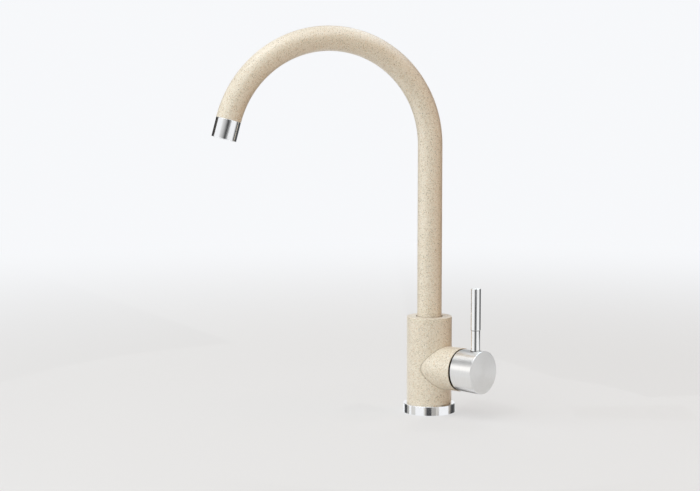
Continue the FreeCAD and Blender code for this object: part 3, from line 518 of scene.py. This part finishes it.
def turned(name, profile, sides=ROUND_SIDES, hollow=False):
    """A turned piece about the vertical axis: one circle drawn out along a profile of radius and height.
    A hollow profile goes round to its start; otherwise both ends are closed with flat faces."""
    clear_selection()
    radius, height = profile[0]
    bpy.ops.mesh.primitive_circle_add(vertices=sides, radius=radius * MM, location=(0, 0, 0))
    piece = bpy.context.object
    piece.name = name
    edit(piece)
    bpy.ops.transform.translate(value=(0, 0, height * MM))
    for new_radius, new_height in profile[1:] + (profile[:1] if hollow else []):
        rise = (0, 0, (new_height - height) * MM)
        bpy.ops.mesh.extrude_edges_move(TRANSFORM_OT_translate={"value": rise})
        spread = new_radius / radius
        bpy.ops.transform.resize(value=(spread, spread, 1), center_override=(0, 0, new_height * MM))
        radius, height = new_radius, new_height
    if not hollow:
        bpy.ops.mesh.edge_face_add()
        select_open_edges()
        bpy.ops.mesh.edge_face_add()
    close_mesh()
    return piece


def apply_modifier(piece, kind, **settings):
    select_only(piece)
    bpy.ops.object.modifier_add(type=kind)
    modifier = piece.modifiers[-1]
    for setting, value in settings.items():
        setattr(modifier, setting, value)
    bpy.ops.object.modifier_apply(modifier=modifier.name)


def soften(piece, width, angle=30):
    """Rounds the piece's edges that are sharper than an angle."""
    apply_modifier(
        piece, "BEVEL", width=width * MM, segments=SOFT_STEPS,
        limit_method="ANGLE", angle_limit=radians(angle),
    )


def carve(piece, tool, operation="DIFFERENCE"):
    apply_modifier(piece, "BOOLEAN", object=tool, operation=operation, solver="EXACT")
    bpy.data.objects.remove(tool, do_unlink=True)


def stand(piece, place, turn=0, axis="Z"):
    """Puts a piece in its place and keeps the place in its mesh.
    The place is in millimetres and the turn in degrees."""
    select_only(piece)
    bpy.context.view_layer.update()
    move = Matrix.Translation(Vector(place) * MM)
    piece.matrix_world = move @ Matrix.Rotation(radians(turn), 4, axis) @ piece.matrix_world
    bpy.ops.object.transform_apply(location=True, rotation=True, scale=True)
    return piece


def cylinder(name, radius, length, place, sides=ROD_SIDES):
    """A plain cylinder to carve with, from a place upwards."""
    clear_selection()
    middle = (Vector(place) + Vector((0, 0, length / 2))) * MM
    bpy.ops.mesh.primitive_cylinder_add(
        vertices=sides, radius=radius * MM, depth=length * MM, location=middle
    )
    tool = bpy.context.object
    tool.name = name
    return stand(tool, (0, 0, 0))


def block(name, size, middle):
    """A plain block to carve with."""
    clear_selection()
    bpy.ops.mesh.primitive_cube_add(size=1, location=Vector(middle) * MM)
    tool = bpy.context.object
    tool.name = name
    tool.scale = Vector(size) * MM
    return stand(tool, (0, 0, 0))


def finish_piece(piece, node):
    """Shades a piece, gives it the node's finish and lets it stand for the node on its body."""
    select_only(piece)
    bpy.ops.object.shade_smooth_by_angle(angle=SMOOTH_ANGLE)
    apply_modifier(piece, "WEIGHTED_NORMAL", keep_sharp=True)
    piece.data.materials.clear()
    piece.data.materials.append(finishes[slots[node]])
    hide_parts(node)
    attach(piece, bodies[node])


# Spout: the arch's centre and the outlet's place follow from the tube's own box and the swivel's direction
SPOUT_HEADING = radians(240)
TUBE_RADIUS = 12.5
TUBE_WALL = 1.5
ARCH_RADIUS = 107
ARCH_ANGLE = 165
ARCH_STEPS = 110
ARCH_START = high("spout_tube")[2] - ARCH_RADIUS - TUBE_RADIUS
spout_way = Vector((cos(SPOUT_HEADING), sin(SPOUT_HEADING), 0))
arch_axis = Vector((-spout_way.y, spout_way.x, 0))
arch_centre = spout_way * ARCH_RADIUS + Vector((0, 0, ARCH_START))
outlet_place = arch_centre + Matrix.Rotation(radians(ARCH_ANGLE), 3, arch_axis) @ (-spout_way * ARCH_RADIUS)


def coated_tube():
    """The spout: one circle drawn up the riser, swung round the arch and given its wall."""
    clear_selection()
    bpy.ops.mesh.primitive_circle_add(vertices=ROUND_SIDES, radius=TUBE_RADIUS * MM, location=(0, 0, 0))
    tube = bpy.context.object
    tube.name = "coated_tube"
    edit(tube)
    foot = low("spout_tube")[2]
    bpy.ops.transform.translate(value=(0, 0, foot * MM))
    bpy.ops.mesh.extrude_edges_move(TRANSFORM_OT_translate={"value": (0, 0, (ARCH_START - foot) * MM)})
    bpy.ops.mesh.spin(steps=ARCH_STEPS, angle=radians(ARCH_ANGLE), center=arch_centre * MM, axis=-arch_axis)
    close_mesh()
    apply_modifier(tube, "SOLIDIFY", thickness=TUBE_WALL * MM, offset=-1)
    soften(tube, 0.35, angle=50)
    finish_piece(tube, "spout_tube")


def outlet_sleeve():
    """The chromed sleeve on the outlet, with a lip inside its mouth that holds the aerator."""
    length = 19.5
    bore = 10.93
    lip_bore = bore - 1.1
    lip_start = length - 1.5
    profile = [
        (bore, 0), (TUBE_RADIUS, 0), (TUBE_RADIUS, length),
        (lip_bore, length), (lip_bore, lip_start), (bore, lip_start),
    ]
    sleeve = turned("chromed_sleeve", profile, hollow=True)
    soften(sleeve, 0.3)
    finish_piece(stand(sleeve, outlet_place, ARCH_ANGLE, arch_axis), "outlet_sleeve")


def base_ring():
    """The chromed ring under the body, with the groove for its seal."""
    radius = high("base_ring")[0]
    height = high("base_ring")[2]
    bore = 20.1
    groove_inner, groove_outer = 21.7, 25.0
    groove_depth = high("base_seal")[2]
    profile = [
        (bore, 0), (groove_inner, 0), (groove_inner, groove_depth), (groove_outer, groove_depth),
        (groove_outer, 0), (radius, 0), (radius, height), (bore, height),
    ]
    ring = turned("chromed_ring", profile, sides=160, hollow=True)
    soften(ring, 0.45)
    finish_piece(ring, "base_ring")


# Handle: the rod stands in the cap's spot face
ROD_STATION = 59.7
HOUSING_HEIGHT = HOUSING_AXIS / MM
ROD_RADIUS = 4.5
ROD_THREAD_RADIUS = 3.0
SPOT_FACE_RADIUS = 5.3
ROD_FOOT = low("rod_seat_ring")[2]
ROD_BOTTOM = low("lever_rod")[2]
ROD_TOP = high("lever_rod")[2]
GRIP_FOOT = low("lever_grip")[2]
GRIP_TOP = high("lever_grip")[2]


def lever_rod():
    """The rod: its threaded stem in the cap, its neck and the spigot that the grip sits on."""
    profile = [
        (ROD_THREAD_RADIUS, ROD_BOTTOM), (ROD_THREAD_RADIUS, ROD_FOOT), (ROD_RADIUS, ROD_FOOT),
        (ROD_RADIUS, GRIP_FOOT), (ROD_THREAD_RADIUS, GRIP_FOOT), (ROD_THREAD_RADIUS, ROD_TOP),
    ]
    rod = turned("handle_rod", profile, ROD_SIDES)
    soften(rod, 0.15)
    finish_piece(stand(rod, (ROD_STATION, 0, 0)), "lever_rod")


def lever_grip():
    """The thicker top part of the handle, a sleeve that is closed at the top."""
    radius = 5.0
    bore = 3.05
    bore_top = ROD_TOP + 0.05
    profile = [(bore, bore_top), (bore, GRIP_FOOT), (radius, GRIP_FOOT), (radius, GRIP_TOP)]
    grip = turned("handle_grip", profile, ROD_SIDES)
    soften(grip, 0.4)
    finish_piece(stand(grip, (ROD_STATION, 0, 0)), "lever_grip")


def rod_seat():
    """The thin dark ring round the rod's foot."""
    outer = SPOT_FACE_RADIUS - 0.05
    top = high("rod_seat_ring")[2]
    profile = [(ROD_RADIUS, ROD_FOOT), (outer, ROD_FOOT), (outer, top), (ROD_RADIUS, top)]
    seat = turned("rod_seat", profile, ROD_SIDES, hollow=True)
    soften(seat, 0.12)
    finish_piece(stand(seat, (ROD_STATION, 0, 0)), "rod_seat_ring")


# Lever cap, along the lever's axis
CAP_RIM = low("lever_cap")[0]
CAP_FACE = high("lever_cap")[0]
CAP_RIM_RADIUS = 21.1
CAP_FACE_RADIUS = 21.75
CAP_BORE = 18.6
CAP_FLOOR = CAP_FACE - 3.7
CAP_SLANT = 1.4
CAP_SIDES = 192
HUB_BACK = LEVER_STATION / MM + 5.7
HUB_RADIUS = 7.0
RIB_WIDTH = 10.0
STEM_SOCKET = 8.1
SOCKET_STATION = 4
SPOT_FACE_DEPTH = 5
ROD_HOLE_DEPTH = 12
SCREW_HOLE_RADIUS = 2.5
SCREW_HOLE_LENGTH = 23
OVERLAP = 0.5


def lever_cap():
    """The brushed cap: a cup with a slanted rim, a hub and a rib inside, and its holes."""
    profile = [
        (CAP_BORE, CAP_FLOOR), (CAP_BORE, CAP_RIM), (CAP_RIM_RADIUS, CAP_RIM), (CAP_FACE_RADIUS, CAP_FACE),
    ]
    cap = stand(turned("brushed_cap", profile, CAP_SIDES), (0, 0, HOUSING_HEIGHT), 90, "Y")
    edit(cap)
    slant = radians(CAP_SLANT)
    bpy.ops.mesh.bisect(
        plane_co=Vector((CAP_RIM, 0, HOUSING_HEIGHT + CAP_RIM_RADIUS)) * MM,
        plane_no=(cos(slant), 0, sin(slant)),
        use_fill=False,
        clear_inner=True,
    )
    select_open_edges()
    bpy.ops.mesh.bridge_edge_loops()
    close_mesh()
    soften(cap, 0.45)
    hub_length = CAP_FLOOR - HUB_BACK + OVERLAP
    hub = cylinder("hub", HUB_RADIUS, hub_length, (0, 0, 0))
    carve(cap, stand(hub, (HUB_BACK, 0, HOUSING_HEIGHT), 90, "Y"), "UNION")
    rib_height = CAP_BORE + OVERLAP
    rib_middle = (HUB_BACK + hub_length / 2, 0, HOUSING_HEIGHT + rib_height / 2)
    carve(cap, block("rib", (hub_length, RIB_WIDTH, rib_height), rib_middle), "UNION")
    socket_middle = (HUB_BACK + SOCKET_STATION, 0, HOUSING_HEIGHT)
    carve(cap, block("stem_socket", (STEM_SOCKET, STEM_SOCKET, STEM_SOCKET), socket_middle))
    carve(cap, cylinder("spot_face", SPOT_FACE_RADIUS, SPOT_FACE_DEPTH, (ROD_STATION, 0, ROD_FOOT)))
    rod_hole_foot = (ROD_STATION, 0, ROD_FOOT - ROD_HOLE_DEPTH)
    carve(cap, cylinder("rod_hole", ROD_THREAD_RADIUS, ROD_HOLE_DEPTH + 1, rod_hole_foot))
    screw_hole_foot = (ROD_STATION, 0, HOUSING_HEIGHT - SCREW_HOLE_LENGTH)
    carve(cap, cylinder("screw_hole", SCREW_HOLE_RADIUS, SCREW_HOLE_LENGTH, screw_hole_foot))
    edit(cap)
    close_mesh()
    finish_piece(cap, "lever_cap")


# Deck fixing
STUD_PITCH = 1.25
STUD_RADIUS = 4.0
STUD_CORE = 3.23
STUD_PLACE = 12.0
THREAD_STEPS = 40
STUD_SIDES = 64


def drawn_line(name, points):
    """A line of edges drawn point by point in the upright plane of radius and height."""
    clear_selection()
    bpy.ops.mesh.primitive_plane_add(size=MM, location=(0, 0, 0))
    line = bpy.context.object
    line.name = name
    edit(line)
    bpy.ops.mesh.merge(type="CENTER")
    bpy.ops.transform.translate(value=Vector((points[0][0], 0, points[0][1])) * MM)
    for start, end in zip(points, points[1:]):
        step = Vector((end[0] - start[0], 0, end[1] - start[1])) * MM
        bpy.ops.mesh.extrude_vertices_move(TRANSFORM_OT_translate={"value": step})
    bpy.ops.object.mode_set(mode="OBJECT")
    return line


def fixing_stud():
    """The M8 stud: one turn of the thread's profile screwed along the axis and cut to length."""
    foot, top = low("fixing_stud")[2], high("fixing_stud")[2]
    turns = int((top - foot) / STUD_PITCH) + 4
    start = foot - 2 * STUD_PITCH
    root_end, crest_start, crest_end, root_start = 0.16, 0.60, 0.76, 1.20
    profile = [
        (STUD_CORE, start), (STUD_CORE, start + root_end), (STUD_RADIUS, start + crest_start),
        (STUD_RADIUS, start + crest_end), (STUD_CORE, start + root_start), (STUD_CORE, start + STUD_PITCH),
    ]
    stud = drawn_line("threaded_stud", profile)
    apply_modifier(
        stud, "SCREW", axis="Z", angle=2 * pi, screw_offset=STUD_PITCH * MM, iterations=turns,
        steps=THREAD_STEPS, render_steps=THREAD_STEPS, use_merge_vertices=True, merge_threshold=0.01 * MM,
    )
    for height, outwards in ((foot, -1), (top, 1)):
        edit(stud)
        bpy.ops.mesh.bisect(
            plane_co=(0, 0, height * MM), plane_no=(0, 0, outwards), use_fill=True, clear_outer=True
        )
        close_mesh()
    end_radius, outside, chamfer = 3.1, 4.1, 1
    ends = [(end_radius, foot), (outside, foot + chamfer), (outside, top - chamfer), (end_radius, top)]
    carve(stud, turned("stud_ends", ends, STUD_SIDES), "INTERSECT")
    finish_piece(stand(stud, (STUD_PLACE, 0, 0)), "fixing_stud")


def stud_nut():
    """The hexagon nut, with its corners turned off at both ends."""
    foot, top = low("stud_nut")[2], high("stud_nut")[2]
    corner_radius, face_radius, corner_drop = 7.5, 6.5, 0.55
    nut = turned("hexagon_nut", [(corner_radius, foot), (corner_radius, top)], 6)
    ends = [
        (face_radius, foot), (corner_radius, foot + corner_drop),
        (corner_radius, top - corner_drop), (face_radius, top),
    ]
    carve(nut, turned("nut_ends", ends, ROD_SIDES), "INTERSECT")
    bore_radius, mouth_radius, mouth_depth, past = 4.05, 4.6, 0.5, 0.1
    bore = [
        (mouth_radius, foot - past), (bore_radius, foot + mouth_depth),
        (bore_radius, top - mouth_depth), (mouth_radius, top + past),
    ]
    carve(nut, turned("nut_bore", bore, STUD_SIDES))
    finish_piece(stand(nut, (STUD_PLACE, 0, 0)), "stud_nut")


def horseshoe(name, node, soft):
    """A round plate with a slot that is open towards the back of the lever, and the stud's hole."""
    foot, top = low(node)[2], high(node)[2]
    thickness = top - foot
    radius = high(node)[0]
    slot_width, slot_end = 30.0, 5.0
    hole_radius = 4.2
    plate = turned(name, [(radius, foot), (radius, top)])
    slot_middle = (slot_end - radius, 0, (foot + top) / 2)
    carve(plate, block("slot", (2 * radius, slot_width, 3 * thickness), slot_middle))
    hole_foot = (STUD_PLACE, 0, foot - thickness)
    carve(plate, cylinder("stud_hole", hole_radius, 3 * thickness, hole_foot, STUD_SIDES))
    soften(plate, soft)
    finish_piece(plate, node)


coated_tube()
outlet_sleeve()
base_ring()
lever_rod()
lever_grip()
rod_seat()
lever_cap()
fixing_stud()
stud_nut()
horseshoe("rubber_horseshoe", "deck_gasket", 0.5)
horseshoe("steel_horseshoe", "deck_plate", 0.3)

# Studio, in metres
BACKGROUND = (0.93, 0.94, 0.96)
AMBIENT = (0.338, 0.286, 0.218)
FLOOR_COLOUR = (0.62, 0.59, 0.555)
FLOOR_RADIUS = 40
FLOOR_DROP = 0.0002
# The floor shows some background colour beside the tap, more with distance and nearly all in reflections
FLOOR_NEAR_SHARE = 0.55
FLOOR_NEAR, FLOOR_FAR = 0.3, 1.7
FLOOR_MIRRORED_SHARE = 0.97
CARD_LIFT = 0.0003
CARD_STEPS = 12
RING_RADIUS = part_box("base_ring")[1].x
RING_CARD_LENGTH = 0.075
TAP_MIDDLE = Vector((0, 0, 0.2))


def make_camera():
    bpy.ops.object.camera_add(location=CAMERA_PLACE, rotation=(CAMERA_PITCH, 0, CAMERA_HEADING))
    camera = bpy.context.object
    camera.name = "photo_camera"
    camera.data.lens = CAMERA_LENS
    camera.data.sensor_width = 36
    camera.data.clip_start = 0.05
    scene.camera = camera


def make_floor():
    """A wide pale floor that melts into the pale background away from the tap."""
    bpy.ops.mesh.primitive_circle_add(
        vertices=96, radius=FLOOR_RADIUS, fill_type="NGON", location=(0, 0, -FLOOR_DROP)
    )
    floor = bpy.context.object
    floor.name = "pale_floor"
    finish = plain_material("pale_floor", FLOOR_COLOUR, 0.7)
    tree = finish.node_tree
    shader = tree.nodes["Principled BSDF"]
    shader.inputs["Specular IOR Level"].default_value = 0.2
    distance = tree.nodes.new("ShaderNodeVectorMath")
    distance.operation = "LENGTH"
    tree.links.new(object_coordinates(tree), distance.inputs[0])
    far = ranged(tree, distance.outputs["Value"], FLOOR_NEAR, FLOOR_FAR, FLOOR_NEAR_SHARE, 1)
    rays = tree.nodes.new("ShaderNodeLightPath")
    seen = maths(tree, "MULTIPLY", rays.outputs["Is Camera Ray"], far)
    mirrored = scaled(tree, rays.outputs["Is Glossy Ray"], FLOOR_MIRRORED_SHARE)
    glow = tree.nodes.new("ShaderNodeEmission")
    glow.inputs["Color"].default_value = (*BACKGROUND, 1)
    mix = tree.nodes.new("ShaderNodeMixShader")
    tree.links.new(maths(tree, "MAXIMUM", seen, mirrored), mix.inputs[0])
    tree.links.new(shader.outputs[0], mix.inputs[1])
    tree.links.new(glow.outputs[0], mix.inputs[2])
    tree.links.new(mix.outputs[0], tree.nodes["Material Output"].inputs["Surface"])
    floor.data.materials.append(finish)


def backdrop(tree, colour):
    node = tree.nodes.new("ShaderNodeBackground")
    node.inputs["Color"].default_value = (*colour, 1)
    return node.outputs[0]


def make_world():
    """Pale all round for the camera and for reflections, and a dimmer even light on the tap."""
    world = bpy.data.worlds.new("pale_studio")
    world.use_nodes = True
    tree = world.node_tree
    tree.nodes.clear()
    rays = tree.nodes.new("ShaderNodeLightPath").outputs
    seen = maths(tree, "MAXIMUM", rays["Is Camera Ray"], rays["Is Glossy Ray"])
    mix = tree.nodes.new("ShaderNodeMixShader")
    output = tree.nodes.new("ShaderNodeOutputWorld")
    tree.links.new(maths(tree, "MAXIMUM", seen, rays["Is Transmission Ray"]), mix.inputs[0])
    tree.links.new(backdrop(tree, AMBIENT), mix.inputs[1])
    tree.links.new(backdrop(tree, BACKGROUND), mix.inputs[2])
    tree.links.new(mix.outputs[0], output.inputs["Surface"])
    scene.world = world


def around(heading, distance, height):
    """A place on a circle about the tap."""
    angle = FRONT + radians(heading)
    return (distance * cos(angle), distance * sin(angle), height)


def arc(distance, headings, height, steps=CARD_STEPS):
    """Points along a circle about the tap, from one heading to another."""
    first, last = headings
    step = (last - first) / steps
    return [around(first + step * index, distance, height) for index in range(steps + 1)]


def softbox(name, place, size, power, colour, reflected=False):
    """A rectangular lamp that faces the tap."""
    bpy.ops.object.light_add(type="AREA", location=place)
    lamp = bpy.context.object
    lamp.name = name
    lamp.data.shape = "RECTANGLE"
    lamp.data.size, lamp.data.size_y = size
    lamp.data.energy = power
    lamp.data.color = colour
    lamp.visible_glossy = reflected
    lamp.rotation_euler = (TAP_MIDDLE - lamp.location).to_track_quat("-Z", "Y").to_euler()


def card(name, edges, finish):
    """A card that polished metal reflects as a dark or bright band. The camera doesn't see it.
    It lies between edges that have as many points each."""
    shape = bmesh.new()
    lines = [[shape.verts.new(point) for point in edge] for edge in edges]
    for near, away in zip(lines, lines[1:]):
        for index in range(len(near) - 1):
            shape.faces.new((near[index], near[index + 1], away[index + 1], away[index]))
    mesh = bpy.data.meshes.new(name)
    shape.to_mesh(mesh)
    shape.free()
    item = bpy.data.objects.new(name, mesh)
    scene.collection.objects.link(item)
    item.visible_camera = False
    item.visible_diffuse = False
    item.visible_shadow = False
    mesh.materials.append(finish)


def ring_card(name, angles, finish):
    """A short card on the floor that the base ring mirrors between two angles from its front."""
    near, away = [], []
    # A level line from the camera that meets the ring at an angle leaves it at twice that angle
    for angle in angles:
        start = around(angle, RING_RADIUS, CARD_LIFT)
        step = around(2 * angle - CAMERA_SIDE, RING_CARD_LENGTH, 0)
        near.append(start)
        away.append((start[0] + step[0], start[1] + step[1], CARD_LIFT))
    card(name, (near, away), finish)


def floor_card(name, steps, finish, height=2 * CARD_LIFT):
    """A card that lies on the floor, or hangs level over it, in steps of distance and two headings."""
    card(name, [arc(distance, headings, height) for distance, headings in steps], finish)


def hung_card(name, headings, distance, heights, finish):
    """An upright card that hangs in the air, bent about the tap."""
    card(name, [arc(distance, headings, height) for height in heights], finish)


def sleeve_card(finish):
    """A small upright card beside the outlet, which darkens the left edge of its sleeve."""
    distance, headings, heights = 0.15, (-99, -126), (-0.10, 0.06)
    lowest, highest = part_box("outlet_sleeve")
    middle = (Vector(lowest) + Vector(highest)) / 2
    edges = []
    for height in heights:
        edges.append([middle + Vector(point) for point in arc(distance, headings, height, steps=3)])
    card("sleeve_card", edges, finish)


def glowing(name, strength, colour=(1, 1, 1)):
    finish = plain_material(name, (0, 0, 0), 1)
    shader = finish.node_tree.nodes["Principled BSDF"]
    shader.inputs["Emission Color"].default_value = (*colour, 1)
    shader.inputs["Emission Strength"].default_value = strength
    return finish


def graded(name, stops):
    """A card's finish whose brightness changes with the heading, from stop to stop of heading and level."""
    finish = glowing(name, 1)
    tree = finish.node_tree
    x, y = split_coordinates(tree)[:2]
    first, last = radians(stops[0][0]), radians(stops[-1][0])
    # Turned so that the middle of the card lies at no angle, which keeps the angle's jump behind the card
    middle = (first + last) / 2 + FRONT
    along = maths(tree, "ADD", scaled(tree, x, cos(middle)), scaled(tree, y, sin(middle)))
    across = maths(tree, "SUBTRACT", scaled(tree, y, cos(middle)), scaled(tree, x, sin(middle)))
    angle = maths(tree, "ARCTAN2", across, along)
    share = maths(tree, "MULTIPLY_ADD", angle, 1 / (last - first), 0.5)
    ramp = tree.nodes.new("ShaderNodeValToRGB")
    # A new ramp has two elements, and the others are added
    elements = ramp.color_ramp.elements
    for index, (heading, level) in enumerate(stops):
        place = (radians(heading) - first) / (last - first)
        element = elements[index] if index < 2 else elements.new(place)
        element.position = place
        element.color = (level, level, level, 1)
    tree.links.new(share, ramp.inputs[0])
    tree.links.new(ramp.outputs["Color"], tree.nodes["Principled BSDF"].inputs["Emission Color"])
    return finish


make_camera()
make_world()
make_floor()

shades = {
    "black": plain_material("black_card", (0.02, 0.02, 0.022), 0.9),
    "charcoal": plain_material("charcoal_card", (0.09, 0.09, 0.09), 0.9),
    "dark_grey": plain_material("dark_grey_card", (0.22, 0.215, 0.21), 0.9),
    "grey": plain_material("grey_card", (0.38, 0.37, 0.36), 0.9),
    "light_grey": plain_material("light_grey_card", (0.62, 0.61, 0.60), 0.9),
}

# Short cards round the base ring: the two angles from its front that mirror the card, and its shade
ring_cards = [
    (-72, -59, "black"), (-59, -52, "grey"), (-45, -34, "light_grey"), (-14, -10.5, "light_grey"),
    (-10.5, -7.5, "dark_grey"), (-7.5, 3, "black"), (3, 13, "grey"), (13, 20, "light_grey"),
    (46, 51, "light_grey"), (51, 56, "dark_grey"), (56, 66, "black"), (66, 80, "charcoal"),
]
for number, (first_angle, second_angle, shade) in enumerate(ring_cards, 1):
    ring_card(f"ring_card_{number}", (first_angle, second_angle), shades[shade])

# Cards on the floor that the handle, the cap and the sleeve mirror: steps of distance and two headings
handle_stops = [(-38, 0.90), (-24, 0.40), (-14, 0.06), (10, 0.05), (20, 0.35), (34, 0.90)]
handle_shade = graded("front_floor_card", handle_stops)
floor_card("front_floor_card", [(0.35, (-38, 34)), (1.4, (-38, 34))], handle_shade)
right_stops = [(70, 0.90), (80, 0.60), (90, 0.16), (100, 0.05), (180, 0.03)]
right_steps = [
    (0.25, (108, 142)), (0.44, (106, 174)), (0.58, (98, 176)),
    (0.66, (72, 180)), (1.2, (70, 180)), (2.4, (70, 180)),
]
floor_card("right_floor_card", right_steps, graded("right_card", right_stops))
floor_card("face_card", [(0.15, (78, 100)), (0.27, (80, 97))], shades["light_grey"])
floor_card("left_floor_card", [(0.5, (-106, -153)), (1.7, (-112, -153))], shades["black"])

# Upright cards that they mirror: two headings, distance, and lowest and highest point
sleeve_stops = [
    (-50, 0.90), (-40, 0.70), (-30, 0.58), (-20, 0.46), (-10, 0.28), (-2, 0.08),
    (8, 0.07), (16, 0.20), (25, 0.41), (33, 0.65), (41, 0.90),
]
hung_card("front_card", (-50, 41), 2.3, (0.2, 1.2), graded("front_card", sleeve_stops))
hung_card("right_card", (118, 152), 2.4, (0, 2.6), shades["black"])
hung_card("left_card", (-118, -153), 1.7, (0, 0.9), shades["black"])
hung_card("boom_card", (-132, -76), 1.3, (1.10, 1.48), shades["black"])
hung_card("back_card", (-165, -200), 2.4, (0.7, 1.9), shades["dark_grey"])
hung_card("window_card", (-120, -46), 0.45, (0.10, 0.30), glowing("window_card", 1.36))
hung_card("window_top_card", (-142, -112), 1.3, (1.49, 2.2), glowing("window_top_card", 1.25))
sleeve_card(shades["charcoal"])

# What the underside of the lever's cap mirrors: level cards that hang a little higher than the base ring
UNDER_CAP = 0.012
cap_glow = glowing("cap_floor_card", 0.86)
floor_card("cap_floor_card", [(0.028, (-60, 28)), (0.09, (-60, 28))], cap_glow, UNDER_CAP)
floor_card("cap_shadow_card", [(0.0235, (30, 80)), (0.034, (30, 80))], shades["black"], UNDER_CAP)

# The coat's satin highlight along the top of the arch
sky_glow = glowing("sky_card", 3.24, (0.79, 0.904, 1.0))
floor_card("sky_card", [(0.4, (20, 172)), (1.6, (20, 172))], sky_glow, height=1.5)

# Lamps, each at a heading, distance and height. Only the top one is seen in the tap's polished metal.
softbox("key_softbox", around(-74, 3.6, 2.1), size=(5.2, 4.4), power=90, colour=(0.79, 0.90, 1.0))
softbox("front_softbox", around(-22, 3.6, 1.4), size=(3.2, 3.2), power=51, colour=(0.81, 0.92, 1.0))
softbox("back_softbox", around(181, 3.6, 1.4), size=(3.2, 3.2), power=34, colour=(0.86, 0.94, 1.0))
softbox(
    "top_softbox", around(-60, 1.0, 3.0), size=(2.2, 2.0), power=40, colour=(0.90, 0.95, 1.0), reflected=True
)
softbox("right_fill", around(80, 1.8, 0.5), size=(1.3, 1.5), power=5.5, colour=(1.0, 0.48, 0.18))

clear_selection()
